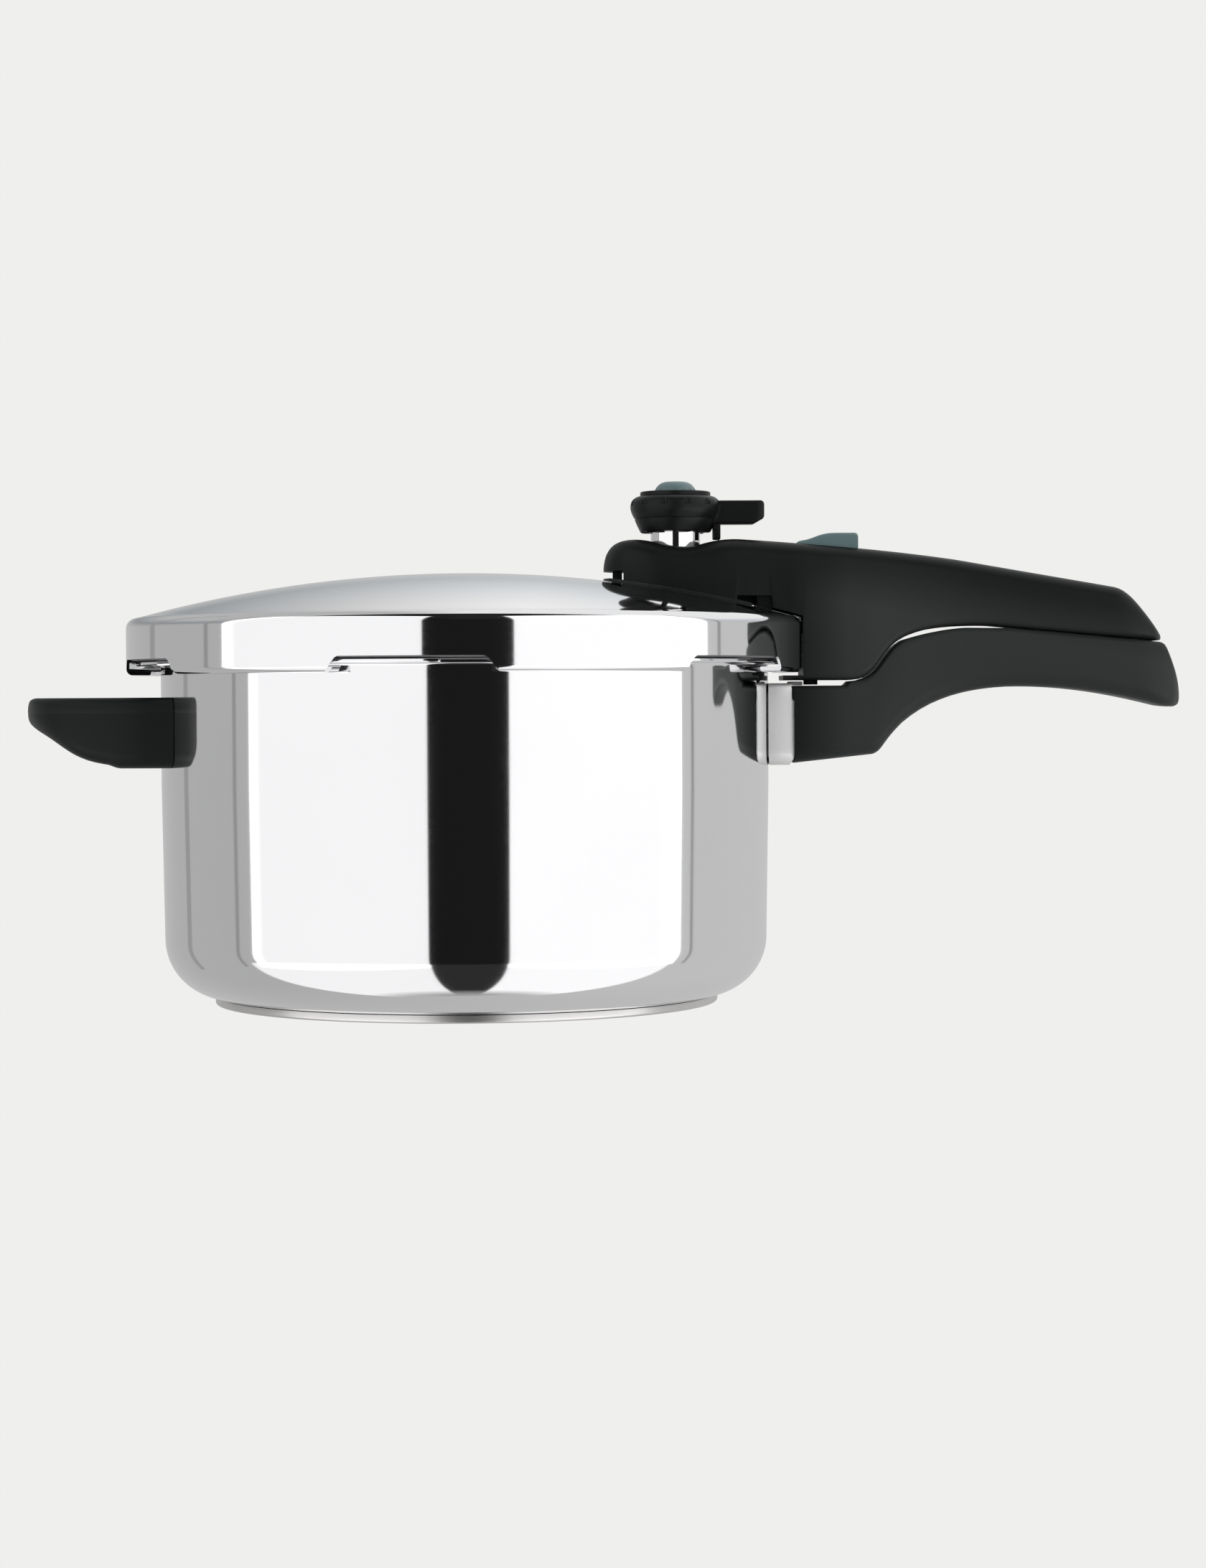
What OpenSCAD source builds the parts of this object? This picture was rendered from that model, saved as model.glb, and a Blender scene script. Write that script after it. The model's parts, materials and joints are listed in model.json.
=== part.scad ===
// Stovetop pressure cooker with a bayonet lid, a two-part long handle and a helper handle.
// The origin is on the pot's axis at the table. +Z is up, and the long handle points along +X.

/* [Pot] */
// Outside diameter of the pot at its rim
body_d = 220; // [180:1:264]
// Height of the pot's rim above the table
rim_z = 123.5; // [95:0.5:180]
// Sheet thickness of the pot
body_wall = 0.9; // [0.7:0.1:1.5]
// How much the wall leans in towards its foot, on the radius
body_taper = 0.9; // [0:0.1:3]
// Outside radius of the bend between wall and bottom
bottom_r = 21; // [10:1:26]
// Diameter of the heat-spreading base
base_d = 182.4; // [120:0.2:200]
// Thickness of the whole base
base_t = 2.8; // [2.4:0.1:9]
// Sheet thickness of the base's steel cap
base_cap_t = 0.6; // [0.4:0.1:1]

/* [Bayonet] */
// Thickness of the pot's rim flange and lugs
flange_t = 1.5; // [1.2:0.1:2.5]
// How far the flange stands out between the lugs
flange_reach = 2.5; // [1.5:0.1:4]
// How far a lug stands out from the pot wall
lug_reach = 9; // [6:0.5:12]
// Width of one lug, in degrees
lug_angle = 23; // [15:1:25]
// Width of one lid tab, in degrees
tab_angle = 34; // [24:1:35]
// Direction of the first tab when the lid is locked, in degrees from the long handle
first_tab_dir = -66.4; // [-90:0.1:-60]
// Number of tabs, and of lugs
tab_count = 6; // [6:1:6]
// Free height between a lug and the tab under it
tab_gap = 1.3; // [0.5:0.1:1.5]
// Thickness of a tab's turned-in lip
lip_t = 1.9; // [1:0.1:2]
// Height of the notches between the tabs
notch_h = 5.6; // [3:0.1:6]

/* [Lid] */
// Sheet thickness of the lid
lid_t = 1; // [0.8:0.1:1.5]
// Clearance between a lug and the inside of the skirt
skirt_clear = 2.3; // [1.5:0.1:4]
// Height of the skirt's shoulder above the pot's rim
shoulder_h = 15.7; // [14:0.1:22]
// Radius of the bend between skirt and dome
shoulder_r = 3.8; // [2:0.1:6]
// Rise of the dome above its shoulder
dome_rise = 16; // [12:0.2:20]

/* [Gasket] */
// Radial thickness of the gasket's back
gasket_back = 3; // [2:0.1:4]
// Thickness of each of the gasket's lips
gasket_lip = 2.4; // [1.5:0.1:3]
// Height of the gasket
gasket_h = 13.4; // [11:0.1:13.8]

/* [Valve] */
// Distance of the valve's axis inside the edge of the lid
valve_inset = 45.7; // [42:0.1:50]
// Diameter of the chrome valve body
valve_d = 17.9; // [16:0.1:19]
// Outside diameter of the tube through the lid
vent_d = 8; // [6:0.1:9]
// Bore of the tube through the lid
vent_bore = 3.2; // [2:0.1:4]
// Widest diameter of the turning knob
knob_d = 32.8; // [29:0.1:34]
// Diameter of the cap on the valve
cap_d = 15.2; // [12:0.1:17]
// Length of the knob's lever, from the knob's axis
lever_reach = 32.2; // [26:0.1:34]
// Lift of the valve needle
needle_lift = 2.5; // [1:0.1:3]

/* [Locks] */
// Length of the slider's button
slider_len = 22.1; // [18:0.1:24]
// Travel of the slider towards the pot
slider_travel = 8; // [5:0.5:8]
// Diameter of the lock pin
lock_pin_d = 3; // [2.4:0.1:3.4]
// Drop of the lock pin for each unit of the slider's travel
ramp_rate = 0.75; // [0.5:0.05:0.75]
// Diameter of the pressure float
float_d = 4.8; // [4:0.1:5.4]
// How far the float's stop ring stands out from its shank
float_ring = 0.6; // [0.4:0.1:0.9]
// Rise of the pressure float
float_rise = 4; // [2:0.5:4]

/* [Handles] */
// Half the width of the lid handle round the valve
nose_half_w = 19; // [18:0.5:24]
// Half the width of the long handle at its root
root_half_w = 16; // [14:0.5:18]
// Half the width of the long handle at its waist
waist_half_w = 13.5; // [12:0.5:16]
// Half the width of the long handle near its end
end_half_w = 15; // [13:0.5:18]
// Half the width of the helper handle's grip
helper_half_w = 44.5; // [38:0.5:52]
// How far the helper handle reaches out from the pot wall
helper_reach = 48.6; // [42:0.2:58]
// Length of the metal collar between pot wall and handle
guard_len = 9; // [7:0.5:12]
// Sheet thickness of the metal collar
guard_t = 0.8; // [0.6:0.1:1.2]

/* [Fasteners and fits] */
// Shank diameter of the handle screws
screw_d = 5; // [4:0.5:5]
// Head diameter of the handle screws
screw_head_d = 8.5; // [8:0.5:10]
// Radial running clearance of the float and the valve needle
run_fit = 0.08; // [0.02:0.01:0.1]
// Free space between pieces that pass each other
pass_gap = 0.3; // [0.2:0.05:0.6]

/* [Hidden] */
$fn = 96;
curve_steps = 8;
dome_steps = 24;
far = 400;

body_r = body_d / 2;
skirt_r = body_r + lug_reach + skirt_clear + lid_t;
tab_z = rim_z - flange_t - tab_gap - lip_t;
notch_z = tab_z + notch_h;
shoulder_z = rim_z + shoulder_h;
crown_r = skirt_r - shoulder_r;
dome_r = (crown_r * crown_r + dome_rise * dome_rise) / (2 * dome_rise);
dome_c = shoulder_z + dome_rise - dome_r;
wall_gap = 0.05;

// Reference levels of the handles: the upper level follows the dome, the lower one the rim
upper_z = shoulder_z + dome_rise - 31.7;
handle_gap_z = rim_z - 9.5;

valve_x = skirt_r - valve_inset;
float_x = skirt_r - 24.3;
plug_r = 3.8;
plug_x = valve_x - plug_r - 9.6;
pin_x = skirt_r + 3.2;
pin_boss_r = lock_pin_d / 2 + 1.1;
front_screw_x = skirt_r - 14.3;
rear_screw_x = skirt_r + 42.7;
strap_z = upper_z + 29.4;
strap_t = 1.5;
track_z = upper_z + 39.2;
ceiling_z = upper_z + 36.6;
knob_z = upper_z + 46.2;
valve_z = strap_z + 5.4;

// Height of the dome's outer surface at radius r
function dome_z(r) = dome_c + sqrt(dome_r * dome_r - r * r);
// One cubic curve from a towards d, without its last point
function bez(a, b, c, d) = [
    for (i = [0 : curve_steps - 1]) let (t = i / curve_steps, u = 1 - t)
        u*u*u * a + 3*u*u*t * b + 3*u*t*t * c + t*t*t * d
];
// Points on a circle from angle a0 to a1
function arc(cx, cy, r, a0, a1, n) = [
    for (i = [0 : n]) let (a = a0 + (a1 - a0) * i / n) [cx + r * cos(a), cy + r * sin(a)]
];
// A point given by its distance out from the skirt and its height over a reference level
function up(x, z) = [skirt_r + x, upper_z + z];
function low(x, z) = [skirt_r + x, rim_z + z];
function mirrored(points) = [for (i = [len(points) - 1 : -1 : 0]) [points[i][0], -points[i][1]]];

// An outline in X and Z, given its width in Y
module side(width) rotate([90, 0, 0]) linear_extrude(width, center = true) children();
module ring(r_in, r_out, z0, z1) {
    translate([0, 0, z0]) difference() {
        cylinder(r = r_out, h = z1 - z0);
        translate([0, 0, -1]) cylinder(r = r_in, h = z1 - z0 + 2);
    }
}
module rod(r, z0, z1) translate([0, 0, z0]) cylinder(r = r, h = z1 - z0);
module slab(x0, x1, half_w, z0, z1) {
    translate([x0, -half_w, z0]) cube([x1 - x0, 2 * half_w, z1 - z0]);
}
// The space that the lid takes, up to a clearance over its dome
module under_dome(offset_r) intersection() {
    translate([0, 0, dome_c]) sphere(r = dome_r + offset_r, $fn = 200);
    rod(skirt_r + 0.7, tab_z - 1, far);
}
module coil(r, wire_r, z0, z1, turns) {
    pitch = (z1 - z0 - 2 * wire_r) / (turns - 1);
    for (i = [0 : turns - 1]) translate([0, 0, z0 + wire_r + i * pitch])
        rotate_extrude() translate([r, 0]) circle(r = wire_r, $fn = 16);
    for (i = [0 : turns - 2]) rotate([0, 0, i * 180])
        rod_at(r, z0 + wire_r + i * pitch, pitch, wire_r);
}
module rod_at(x, z, h, r) translate([x, 0, z]) cylinder(r = r * 0.8, h = h, $fn = 16);

// ---------- Pot ----------

module vessel() {
    foot_r = body_r - body_taper;
    bend_z = base_t + bottom_r;
    straight_z = rim_z - 45;
    in_r = bottom_r - body_wall;
    outer = concat(
        [[0, base_t]],
        arc(foot_r - bottom_r, bend_z, bottom_r, -90, 0, 12),
        [[body_r, straight_z], [body_r, rim_z - flange_t], [body_r + lug_reach, rim_z - flange_t],
         [body_r + lug_reach, rim_z], [body_r - body_wall, rim_z]]);
    inner = concat(
        [[body_r - body_wall, straight_z]],
        arc(foot_r - bottom_r, bend_z, in_r, 0, -90, 12),
        [[0, base_t + body_wall]]);
    rotate_extrude() polygon(concat(outer, inner));
}

// The space between two lugs, where the flange is narrow
module lug_space() {
    space_angle = 360 / tab_count - lug_angle;
    rotate([0, 0, lug_angle / 2]) rotate_extrude(angle = space_angle)
        translate([body_r + flange_reach, rim_z - flange_t - 1])
            square([lug_reach, flange_t + 2]);
}

module pot_body() color([0.8, 0.8, 0.81]) difference() {
    vessel();
    for (i = [0 : tab_count - 1]) rotate([0, 0, first_tab_dir + i * 360 / tab_count]) lug_space();
}

module base_core() color([0.7, 0.71, 0.73]) rod(base_d / 2 - base_cap_t, base_cap_t, base_t);

module base_cap() color([0.82, 0.82, 0.83]) difference() {
    rod(base_d / 2, 0, base_t);
    rod(base_d / 2 - base_cap_t, base_cap_t, base_t + 1);
}

module flame_guard() color([0.75, 0.75, 0.75]) {
    top = rim_z - 8.6;
    foot = rim_z - 38.1;
    half_w = root_half_w - 1.3;
    difference() {
        union() {
            slab(body_r - 4, body_r + guard_len, half_w, foot, top);
            // Tab that lies on the pot handle
            slab(body_r + guard_len - 1, pin_x - pin_boss_r - pass_gap, 4, handle_gap_z + 0.15, top);
        }
        slab(body_r - 10, body_r + guard_len + 1, half_w - guard_t, foot + guard_t, handle_gap_z);
        rod(body_r + wall_gap, 0, far);
    }
}

module pot_bracket() color([0.7, 0.7, 0.7]) difference() {
    union() {
        slab(body_r - 4, body_r + 2.2, root_half_w - 3.5, rim_z - 35, rim_z - 12);
        slab(body_r + 2, body_r + guard_len + 12, 6, rim_z - 31, rim_z - 21);
    }
    rod(body_r + wall_gap, 0, far);
    translate([body_r + 2.5, 0, rim_z - 26]) rotate([0, 90, 0]) cylinder(d = screw_d, h = 60);
}

module screw_along_x(x_tip, x_head, z, head_len) {
    translate([x_tip, 0, z]) rotate([0, 90, 0]) cylinder(d = screw_d - 0.1, h = x_head - x_tip);
    translate([x_head, 0, z]) rotate([0, 90, 0]) difference() {
        cylinder(d = screw_head_d, h = head_len);
        translate([-0.6, -screw_head_d, head_len - 1.2]) cube([1.2, 2 * screw_head_d, 2]);
    }
}

module pot_handle_screw() color([0.6, 0.6, 0.6]) {
    screw_along_x(body_r + 3.5, skirt_r + 21, rim_z - 26, 3);
}

module long_handle_plan(x0, tip_x) {
    edge = concat(
        bez([x0, root_half_w], [skirt_r + 20, root_half_w], [skirt_r + 42, waist_half_w],
            [skirt_r + 60, waist_half_w]),
        bez([skirt_r + 60, waist_half_w], [skirt_r + 80, waist_half_w],
            [skirt_r + 95, end_half_w], [tip_x - 14, end_half_w]),
        bez([tip_x - 14, end_half_w], [tip_x - 5, end_half_w], [tip_x, end_half_w * 0.6], [tip_x, 0]));
    polygon(concat(edge, [[tip_x, 0]], mirrored(edge)));
}

module pot_handle_side() {
    root = body_r + guard_len + 0.1 - skirt_r;
    polygon(concat(
        [low(root, -9.5), low(15.3, -9.5), low(16.9, -7.95)],
        bez(low(17.3, -7.9), low(28.6, -7.8), low(27.4, 1.9), low(36.6, 6.9)),
        bez(low(36.6, 6.9), low(43.5, 8.9), low(50, 11), low(62, 11.3)),
        [low(75, 10.9), low(125.5, 6)],
        bez(low(127.5, 5.8), low(130.8, 5.8), low(131, 4.2), low(133, -0.2)),
        bez(low(133, -0.2), low(135.4, -5.6), low(137.1, -10.5), low(137.1, -14)),
        bez(low(137.1, -14), low(137.1, -17.8), low(134.8, -18.1), low(129.3, -17.3)),
        bez(low(129.3, -17.3), low(113, -13), low(97, -10.2), low(79, -10.1)),
        bez(low(79, -10.1), low(59.5, -10), low(46, -14.2), low(35.7, -23)),
        bez(low(35.7, -23), low(27.2, -31.2), low(29, -33.7), low(23.4, -34.6)),
        [low(root, -37.5)]));
}

module pot_handle() color([0.13, 0.15, 0.15]) {
    difference() {
        union() {
            intersection() {
                side(far) pot_handle_side();
                linear_extrude(far) long_handle_plan(body_r, skirt_r + 137.1);
            }
            // Spigot inside the metal collar
            slab(body_r + 2.5, body_r + guard_len + 1, root_half_w - 3, rim_z - 36.5, rim_z - 10.5);
        }
        // Pocket of the steel bracket
        slab(body_r, body_r + guard_len + 12.2, 6.2, rim_z - 31.2, rim_z - 20.8);
        translate([body_r, 0, rim_z - 26]) rotate([0, 90, 0]) cylinder(d = screw_d + 0.2, h = 60);
        translate([skirt_r + 21, 0, rim_z - 26])
            rotate([0, 90, 0]) cylinder(d = screw_head_d + 0.8, h = 40);
        // Hole that the lock pin drops into
        translate([pin_x, 0, 0]) rod(lock_pin_d / 2 + pass_gap, handle_gap_z - 9, handle_gap_z + 3);
    }
}

module helper_bracket() color([0.7, 0.7, 0.7]) difference() {
    union() {
        slab(-body_r - 2.2, -body_r + 6, 20, rim_z - 35, rim_z - 16);
        slab(-body_r - 18, -body_r - 2, 8, rim_z - 33, rim_z - 25);
    }
    rod(body_r + wall_gap, 0, far);
    translate([-body_r - 30, 0, rim_z - 29]) rotate([0, 90, 0]) cylinder(d = screw_d, h = 27.5);
}

helper_top = -12.7;
helper_foot = -37.7;
module helper_side() {
    tip = -helper_reach;
    polygon(concat(
        [[20, helper_top], [tip + 7.6, helper_top]],
        bez([tip + 7.5, helper_top], [tip + 2.2, helper_top], [tip, -14], [tip, -18.1]),
        bez([tip, -18.1], [tip, -21.5], [tip + 3.6, -23.2], [tip + 8.6, -25.6]),
        bez([tip + 8.6, -25.6], [tip + 16.6, -29.4], [tip + 20.6, -34.6], [-16, -36.2]),
        [[-12.5, -36.5], [-11, helper_foot], [20, helper_foot]]));
}

module helper_handle() color([0.13, 0.15, 0.15]) difference() {
    intersection() {
        translate([-body_r, 0, rim_z]) side(far) helper_side();
        linear_extrude(far) helper_plan();
    }
    rod(body_r + wall_gap, 0, far);
    // Pocket of the steel bracket
    slab(-body_r - 2.4, 0, 20.2, rim_z - 35.2, rim_z - 15.8);
    slab(-body_r - 18.2, -body_r, 8.2, rim_z - 33.2, rim_z - 24.8);
    translate([-body_r - 40, 0, rim_z - 29]) rotate([0, 90, 0]) cylinder(d = screw_d + 0.2, h = 40);
    translate([-body_r - 60, 0, rim_z - 29])
        rotate([0, 90, 0]) cylinder(d = screw_head_d + 0.8, h = 30);
}

module helper_plan() {
    tip = -body_r - helper_reach;
    edge = concat([[-body_r + 14, helper_half_w]],
        bez([-body_r, helper_half_w], [-body_r - 25, helper_half_w], [tip, helper_half_w * 0.7], [tip, 0]));
    polygon(concat(edge, [[tip, 0]], mirrored(edge)));
}

module helper_screw() color([0.6, 0.6, 0.6]) mirror([1, 0, 0]) {
    screw_along_x(body_r + 3.5, body_r + 30, rim_z - 29, 3);
}

// ---------- Lid ----------

module lid_profile() {
    corner = shoulder_r;
    dome = [for (i = [0 : dome_steps]) let (r = crown_r * i / dome_steps) [r, dome_z(r)]];
    crown_in = crown_r - 0.4;
    dome_in = [for (i = [dome_steps : -1 : 0]) let (r = crown_in * i / dome_steps)
        [r, dome_c + sqrt((dome_r - lid_t) * (dome_r - lid_t) - r * r)]];
    bend = arc(skirt_r - corner, shoulder_z - corner, corner, 72, 0, 8);
    bend_in = arc(skirt_r - corner, shoulder_z - corner, corner - lid_t, 0, 66, 6);
    lip_in = body_r + flange_reach + 1;
    lip = [[skirt_r, tab_z + 2], [skirt_r - 0.6, tab_z + 0.6], [skirt_r - 2, tab_z], [lip_in, tab_z],
        [lip_in, tab_z + lip_t], [skirt_r - lid_t, tab_z + lip_t]];
    polygon(concat(dome, bend, lip, bend_in, dome_in));
}

module notch() {
    notch_angle = 360 / tab_count - tab_angle;
    rotate([0, 0, tab_angle / 2]) rotate_extrude(angle = notch_angle)
        translate([body_r, tab_z - 1]) square([skirt_r - body_r + 1, notch_h + 1]);
}

module lid_shell() color([0.82, 0.82, 0.83]) difference() {
    rotate_extrude() lid_profile();
    for (i = [0 : tab_count - 1]) rotate([0, 0, first_tab_dir + i * 360 / tab_count]) notch();
    translate([valve_x, 0, 0]) rod(vent_d / 2 + 0.1, rim_z, far);
    translate([plug_x, 0, 0]) rod(plug_r - 0.4, rim_z, far);
    translate([float_x, 0, 0]) rod(float_d / 2 + 0.8, rim_z, far);
}

module gasket() color([0.55, 0.55, 0.56]) {
    out_r = skirt_r - lid_t - 0.7;
    foot = rim_z + pass_gap;
    top = foot + gasket_h;
    rotate_extrude() polygon([
        [body_r - 0.6, foot], [out_r, foot], [out_r, top], [body_r - 3, top],
        [body_r - 3, top - gasket_lip], [out_r - gasket_back, top - gasket_lip],
        [out_r - gasket_back, foot + gasket_lip], [body_r - 0.6, foot + gasket_lip]]);
}

module lid_handle_side() {
    polygon(concat(
        bez(up(-72, 32.4), up(-71.6, 40.5), up(-68.5, 43.6), up(-60.4, 43.5)),
        bez(up(-60.4, 43.5), up(-54, 43.3), up(-50, 40.8), up(-42, 40.8)),
        bez(up(-42, 40.8), up(-36, 40.8), up(-34.5, 43.4), up(-27, 43.4)),
        bez(up(-27, 43.4), up(-3, 41.6), up(36.4, 39.3), up(64.4, 34.4)),
        bez(up(112.5, 25.7), up(117.8, 24.7), up(120.2, 20.2), up(125.8, 13.4)),
        bez(up(129.4, 8.6), up(131, 7.2), up(130, 6.1), up(127.6, 6.3)),
        bez(up(67.4, 12.1), up(52, 12.4), up(43, 11), up(36.1, 7.8)),
        bez(up(36.1, 7.8), up(26.5, 3), low(27, -7.4), low(17.3, -7.5)),
        [low(0.2, -7.5), up(0.2, 14.5), up(-10.5, 23), up(-24, 23), up(-24, 0), up(-64.6, 0),
         up(-64.6, 32.2)]));
}

module lid_handle_plan() {
    front = skirt_r - 72;
    edge = concat(
        bez([front, 0], [front, nose_half_w * 0.7], [front + 12, nose_half_w],
            [valve_x, nose_half_w]),
        bez([valve_x, nose_half_w], [valve_x + 20, nose_half_w], [skirt_r - 10, root_half_w],
            [skirt_r + 6, root_half_w]),
        bez([skirt_r + 6, root_half_w], [skirt_r + 25, root_half_w], [skirt_r + 42, waist_half_w],
            [skirt_r + 60, waist_half_w]),
        bez([skirt_r + 60, waist_half_w], [skirt_r + 80, waist_half_w],
            [skirt_r + 95, end_half_w], [skirt_r + 116, end_half_w]),
        bez([skirt_r + 116, end_half_w], [skirt_r + 125, end_half_w],
            [skirt_r + 130.4, end_half_w * 0.6], [skirt_r + 130.4, 0]));
    polygon(concat(edge, [[skirt_r + 130.4, 0]], mirrored(edge)));
}

module pin_boss() translate([pin_x, 0, 0]) rod(pin_boss_r, handle_gap_z + 0.4, rim_z);

module lid_handle_shell() color([0.13, 0.15, 0.15]) {
    boss_r = 4.5;
    difference() {
        union() {
            difference() {
                intersection() {
                    side(far) lid_handle_side();
                    linear_extrude(far) lid_handle_plan();
                }
                // Hollow over the dome, and over the grip's root for the lock
                slab(skirt_r - 63.1, skirt_r - 2, nose_half_w - 6, 0, ceiling_z);
                slab(skirt_r - 3, skirt_r + 27.7, 9.5, rim_z + 10, ceiling_z);
            }
            // Rib under the edge of the skirt
            slab(skirt_r - 6.5, skirt_r + 1, 4, rim_z - 7.3, tab_z - 1.1);
            pin_boss();
            // Boss of the front screw
            translate([front_screw_x, 0, 0]) rod(boss_r, strap_z + strap_t, ceiling_z + 1);
        }
        under_dome(1.2);
        // Slot of the strap
        slab(skirt_r + 20, rear_screw_x + 15.1, 8.1, strap_z - 0.1, strap_z + strap_t + 0.1);
        translate([front_screw_x, 0, 0]) rod(2.05, strap_z, ceiling_z + 2);
        translate([rear_screw_x, 0, 0]) {
            rod(4, rim_z - 10, strap_z);
            rod(2.05, strap_z, upper_z + 35.6);
        }
        translate([valve_x, 0, 0]) rod(valve_d / 2 + pass_gap, strap_z, far);
        // Track of the slider, with the slot for its stem
        slab(skirt_r - 2.2 - slider_travel - 1, skirt_r - 2 + slider_len + 0.4, 9, track_z, far);
        slab(skirt_r + 8.6 - slider_travel - 0.4, skirt_r + 15, 2.8, ceiling_z - 1, far);
        // Guide and spring chamber of the lock pin
        translate([pin_x, 0, 0]) {
            rod(lock_pin_d / 2 + pass_gap / 3, 0, rim_z + 12);
            rod(lock_pin_d / 2 + 2.1, rim_z + 1.5, rim_z + 12);
        }
    }
}

module lid_handle_base() color([0.12, 0.13, 0.13]) difference() {
    union() {
        intersection() {
            linear_extrude(far) lid_handle_plan();
            slab(skirt_r - 72.5, skirt_r - 18.6, 40, shoulder_z - 10, upper_z + 29.6);
            under_dome(1.1);
        }
        // Post under the nose
        slab(skirt_r - 68.6, skirt_r - 65.2, 6, upper_z + 24, upper_z + 32);
        // Post near the edge of the lid
        slab(skirt_r - 16.8, skirt_r - 11.3, nose_half_w - 6.3, shoulder_z - 6, upper_z + 22.9);
        slab(skirt_r - 30, skirt_r - 11.3, 6, upper_z + 20, upper_z + 24.5);
    }
    under_dome(0.05);
    translate([valve_x, 0, 0]) rod(8.2, 0, far);
    translate([plug_x, 0, 0]) rod(plug_r + 0.4, 0, far);
    translate([float_x, 0, 0]) rod(float_d / 2 + 1.8, 0, far);
}

module lid_bracket() color([0.7, 0.7, 0.7]) difference() {
    slab(valve_x - 8.8, rear_screw_x + 15, 8, strap_z, strap_z + strap_t);
    translate([valve_x, 0, 0]) rod(vent_d / 2 + 0.1, 0, far);
    translate([front_screw_x, 0, 0]) rod(2.1, 0, far);
    translate([rear_screw_x, 0, 0]) rod(2.1, 0, far);
    slab(skirt_r - 1.3, skirt_r + 17, 3.2, 0, far);
}

module lid_handle_screws() color([0.6, 0.6, 0.6]) {
    for (x = [front_screw_x, rear_screw_x]) translate([x, 0, 0]) difference() {
        union() {
            rod(3, strap_z - 1.9, strap_z);
            rod(2, strap_z - 1, strap_z + 6);
        }
        translate([-0.4, -4, strap_z - 2.5]) cube([0.8, 8, 1.4]);
    }
}

module vent_tube() color([0.75, 0.75, 0.75]) translate([valve_x, 0, 0]) difference() {
    union() {
        rod(vent_d / 2, rim_z + 16.5, valve_z + 4.7);
        translate([0, 0, rim_z + 18.4]) cylinder(r = 7, h = 2.3, $fn = 6);
    }
    rod(vent_bore / 2, 0, far);
}

module vent_nut() color([0.7, 0.7, 0.7]) translate([valve_x, 0, strap_z + strap_t]) difference() {
    cylinder(r = 8, h = 3.5, $fn = 6);
    translate([0, 0, -1]) cylinder(d = vent_d, h = 6);
}

module vent_spacer() color([0.7, 0.7, 0.7]) translate([valve_x, 0, 0]) {
    ring(vent_d / 2 + 0.1, 6.5, dome_z(valve_x - 6.5) + 0.1, strap_z);
}

module vent_seal() color([0.5, 0.5, 0.5]) translate([valve_x, 0, 0]) {
    ring(vent_d / 2 + 0.05, 7.5, rim_z + 20.7, dome_z(valve_x + 7.5) - 1.05 * lid_t);
}

module vent_filter() color([0.75, 0.75, 0.75]) translate([valve_x, 0, rim_z + 12.8]) difference() {
    cylinder(r = 7.6, h = 5.5);
    translate([0, 0, 0.8]) cylinder(r = 6.8, h = 2.9);
    translate([0, 0, 3]) cylinder(d = vent_d, h = 4);
    for (i = [0 : 5]) rotate([0, 0, i * 60]) {
        translate([4.2, 0, -1]) cylinder(r = 0.8, h = 3, $fn = 24);
        translate([0, 0, 2.6]) rotate([0, 90, 0]) cylinder(r = 0.8, h = 12, $fn = 24);
    }
}

module safety_plug() color([0.45, 0.45, 0.45]) {
    z = dome_z(plug_x);
    translate([plug_x, 0, 0]) {
        rod(plug_r - 0.5, z - 3.5, z + 1.7);
        rod(plug_r, z + 0.8, z + 1.7);
        rod(plug_r, z - 4.5, z - 2);
    }
}

module float_seal() color([0.45, 0.45, 0.45]) {
    z = dome_z(float_x);
    translate([float_x, 0, 0]) difference() {
        union() {
            rod(float_d / 2 + 0.7, z - 3.5, z + 1.8);
            rod(float_d / 2 + 1.7, z - 3.5, z - 2.3);
        }
        rod(float_d / 2 + run_fit, 0, far);
    }
}

module float_pin() color([0.7, 0.7, 0.7]) {
    z = dome_z(float_x);
    translate([float_x, 0, 0]) {
        rod(float_d / 2, z - 9.5, z + 3.4);
        rod(float_d / 2 + 2, z - 9.5, z - 3.5 - float_rise - 0.2);
        // Ring that keeps the float from falling through the lid
        rod(float_d / 2 + float_ring, z + 2, z + 3.2);
    }
}

// ---------- Valve ----------

module valve_body() color([0.85, 0.85, 0.86]) translate([valve_x, 0, 0]) difference() {
    rod(valve_d / 2, valve_z, knob_z + 8.5);
    rod(vent_d / 2, 0, valve_z + 4.8);
    rod(vent_bore / 2, 0, valve_z + 6);
    rod(5.5, valve_z + 5.6, knob_z + 7.3);
    rod(2.1 + run_fit, 0, far);
}

module valve_plunger() color([0.7, 0.7, 0.7]) translate([valve_x, 0, 0]) {
    rod(2.1, valve_z + 7, knob_z + 14);
    rod(4, valve_z + 7, valve_z + 8.2);
    translate([0, 0, valve_z + 5.9]) cylinder(r1 = 1.2, r2 = 2.1, h = 1.1);
}

module valve_spring() color([0.6, 0.6, 0.6]) translate([valve_x, 0, 0]) {
    coil(4.6, 0.35, valve_z + 8.3, knob_z + 7.2, 6);
}

module valve_cap() color([0.38, 0.47, 0.49]) translate([valve_x, 0, knob_z]) difference() {
    rotate_extrude() polygon(concat(
        [[0, 11.6], [cap_d / 2, 11.6], [cap_d / 2, 16.3]],
        bez([cap_d / 2, 16.3], [cap_d / 2 - 1.2, 17.9], [3.5, 18.6], [0, 18.6]), [[0, 18.6]]));
    translate([0, 0, 11]) cylinder(r = 2.12, h = 3.1);
    for (i = [0 : 15]) rotate([0, 0, i * 22.5]) translate([cap_d / 2 + 0.5, 0, 15])
        cylinder(r = 0.9, h = 6, $fn = 24);
}

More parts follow.
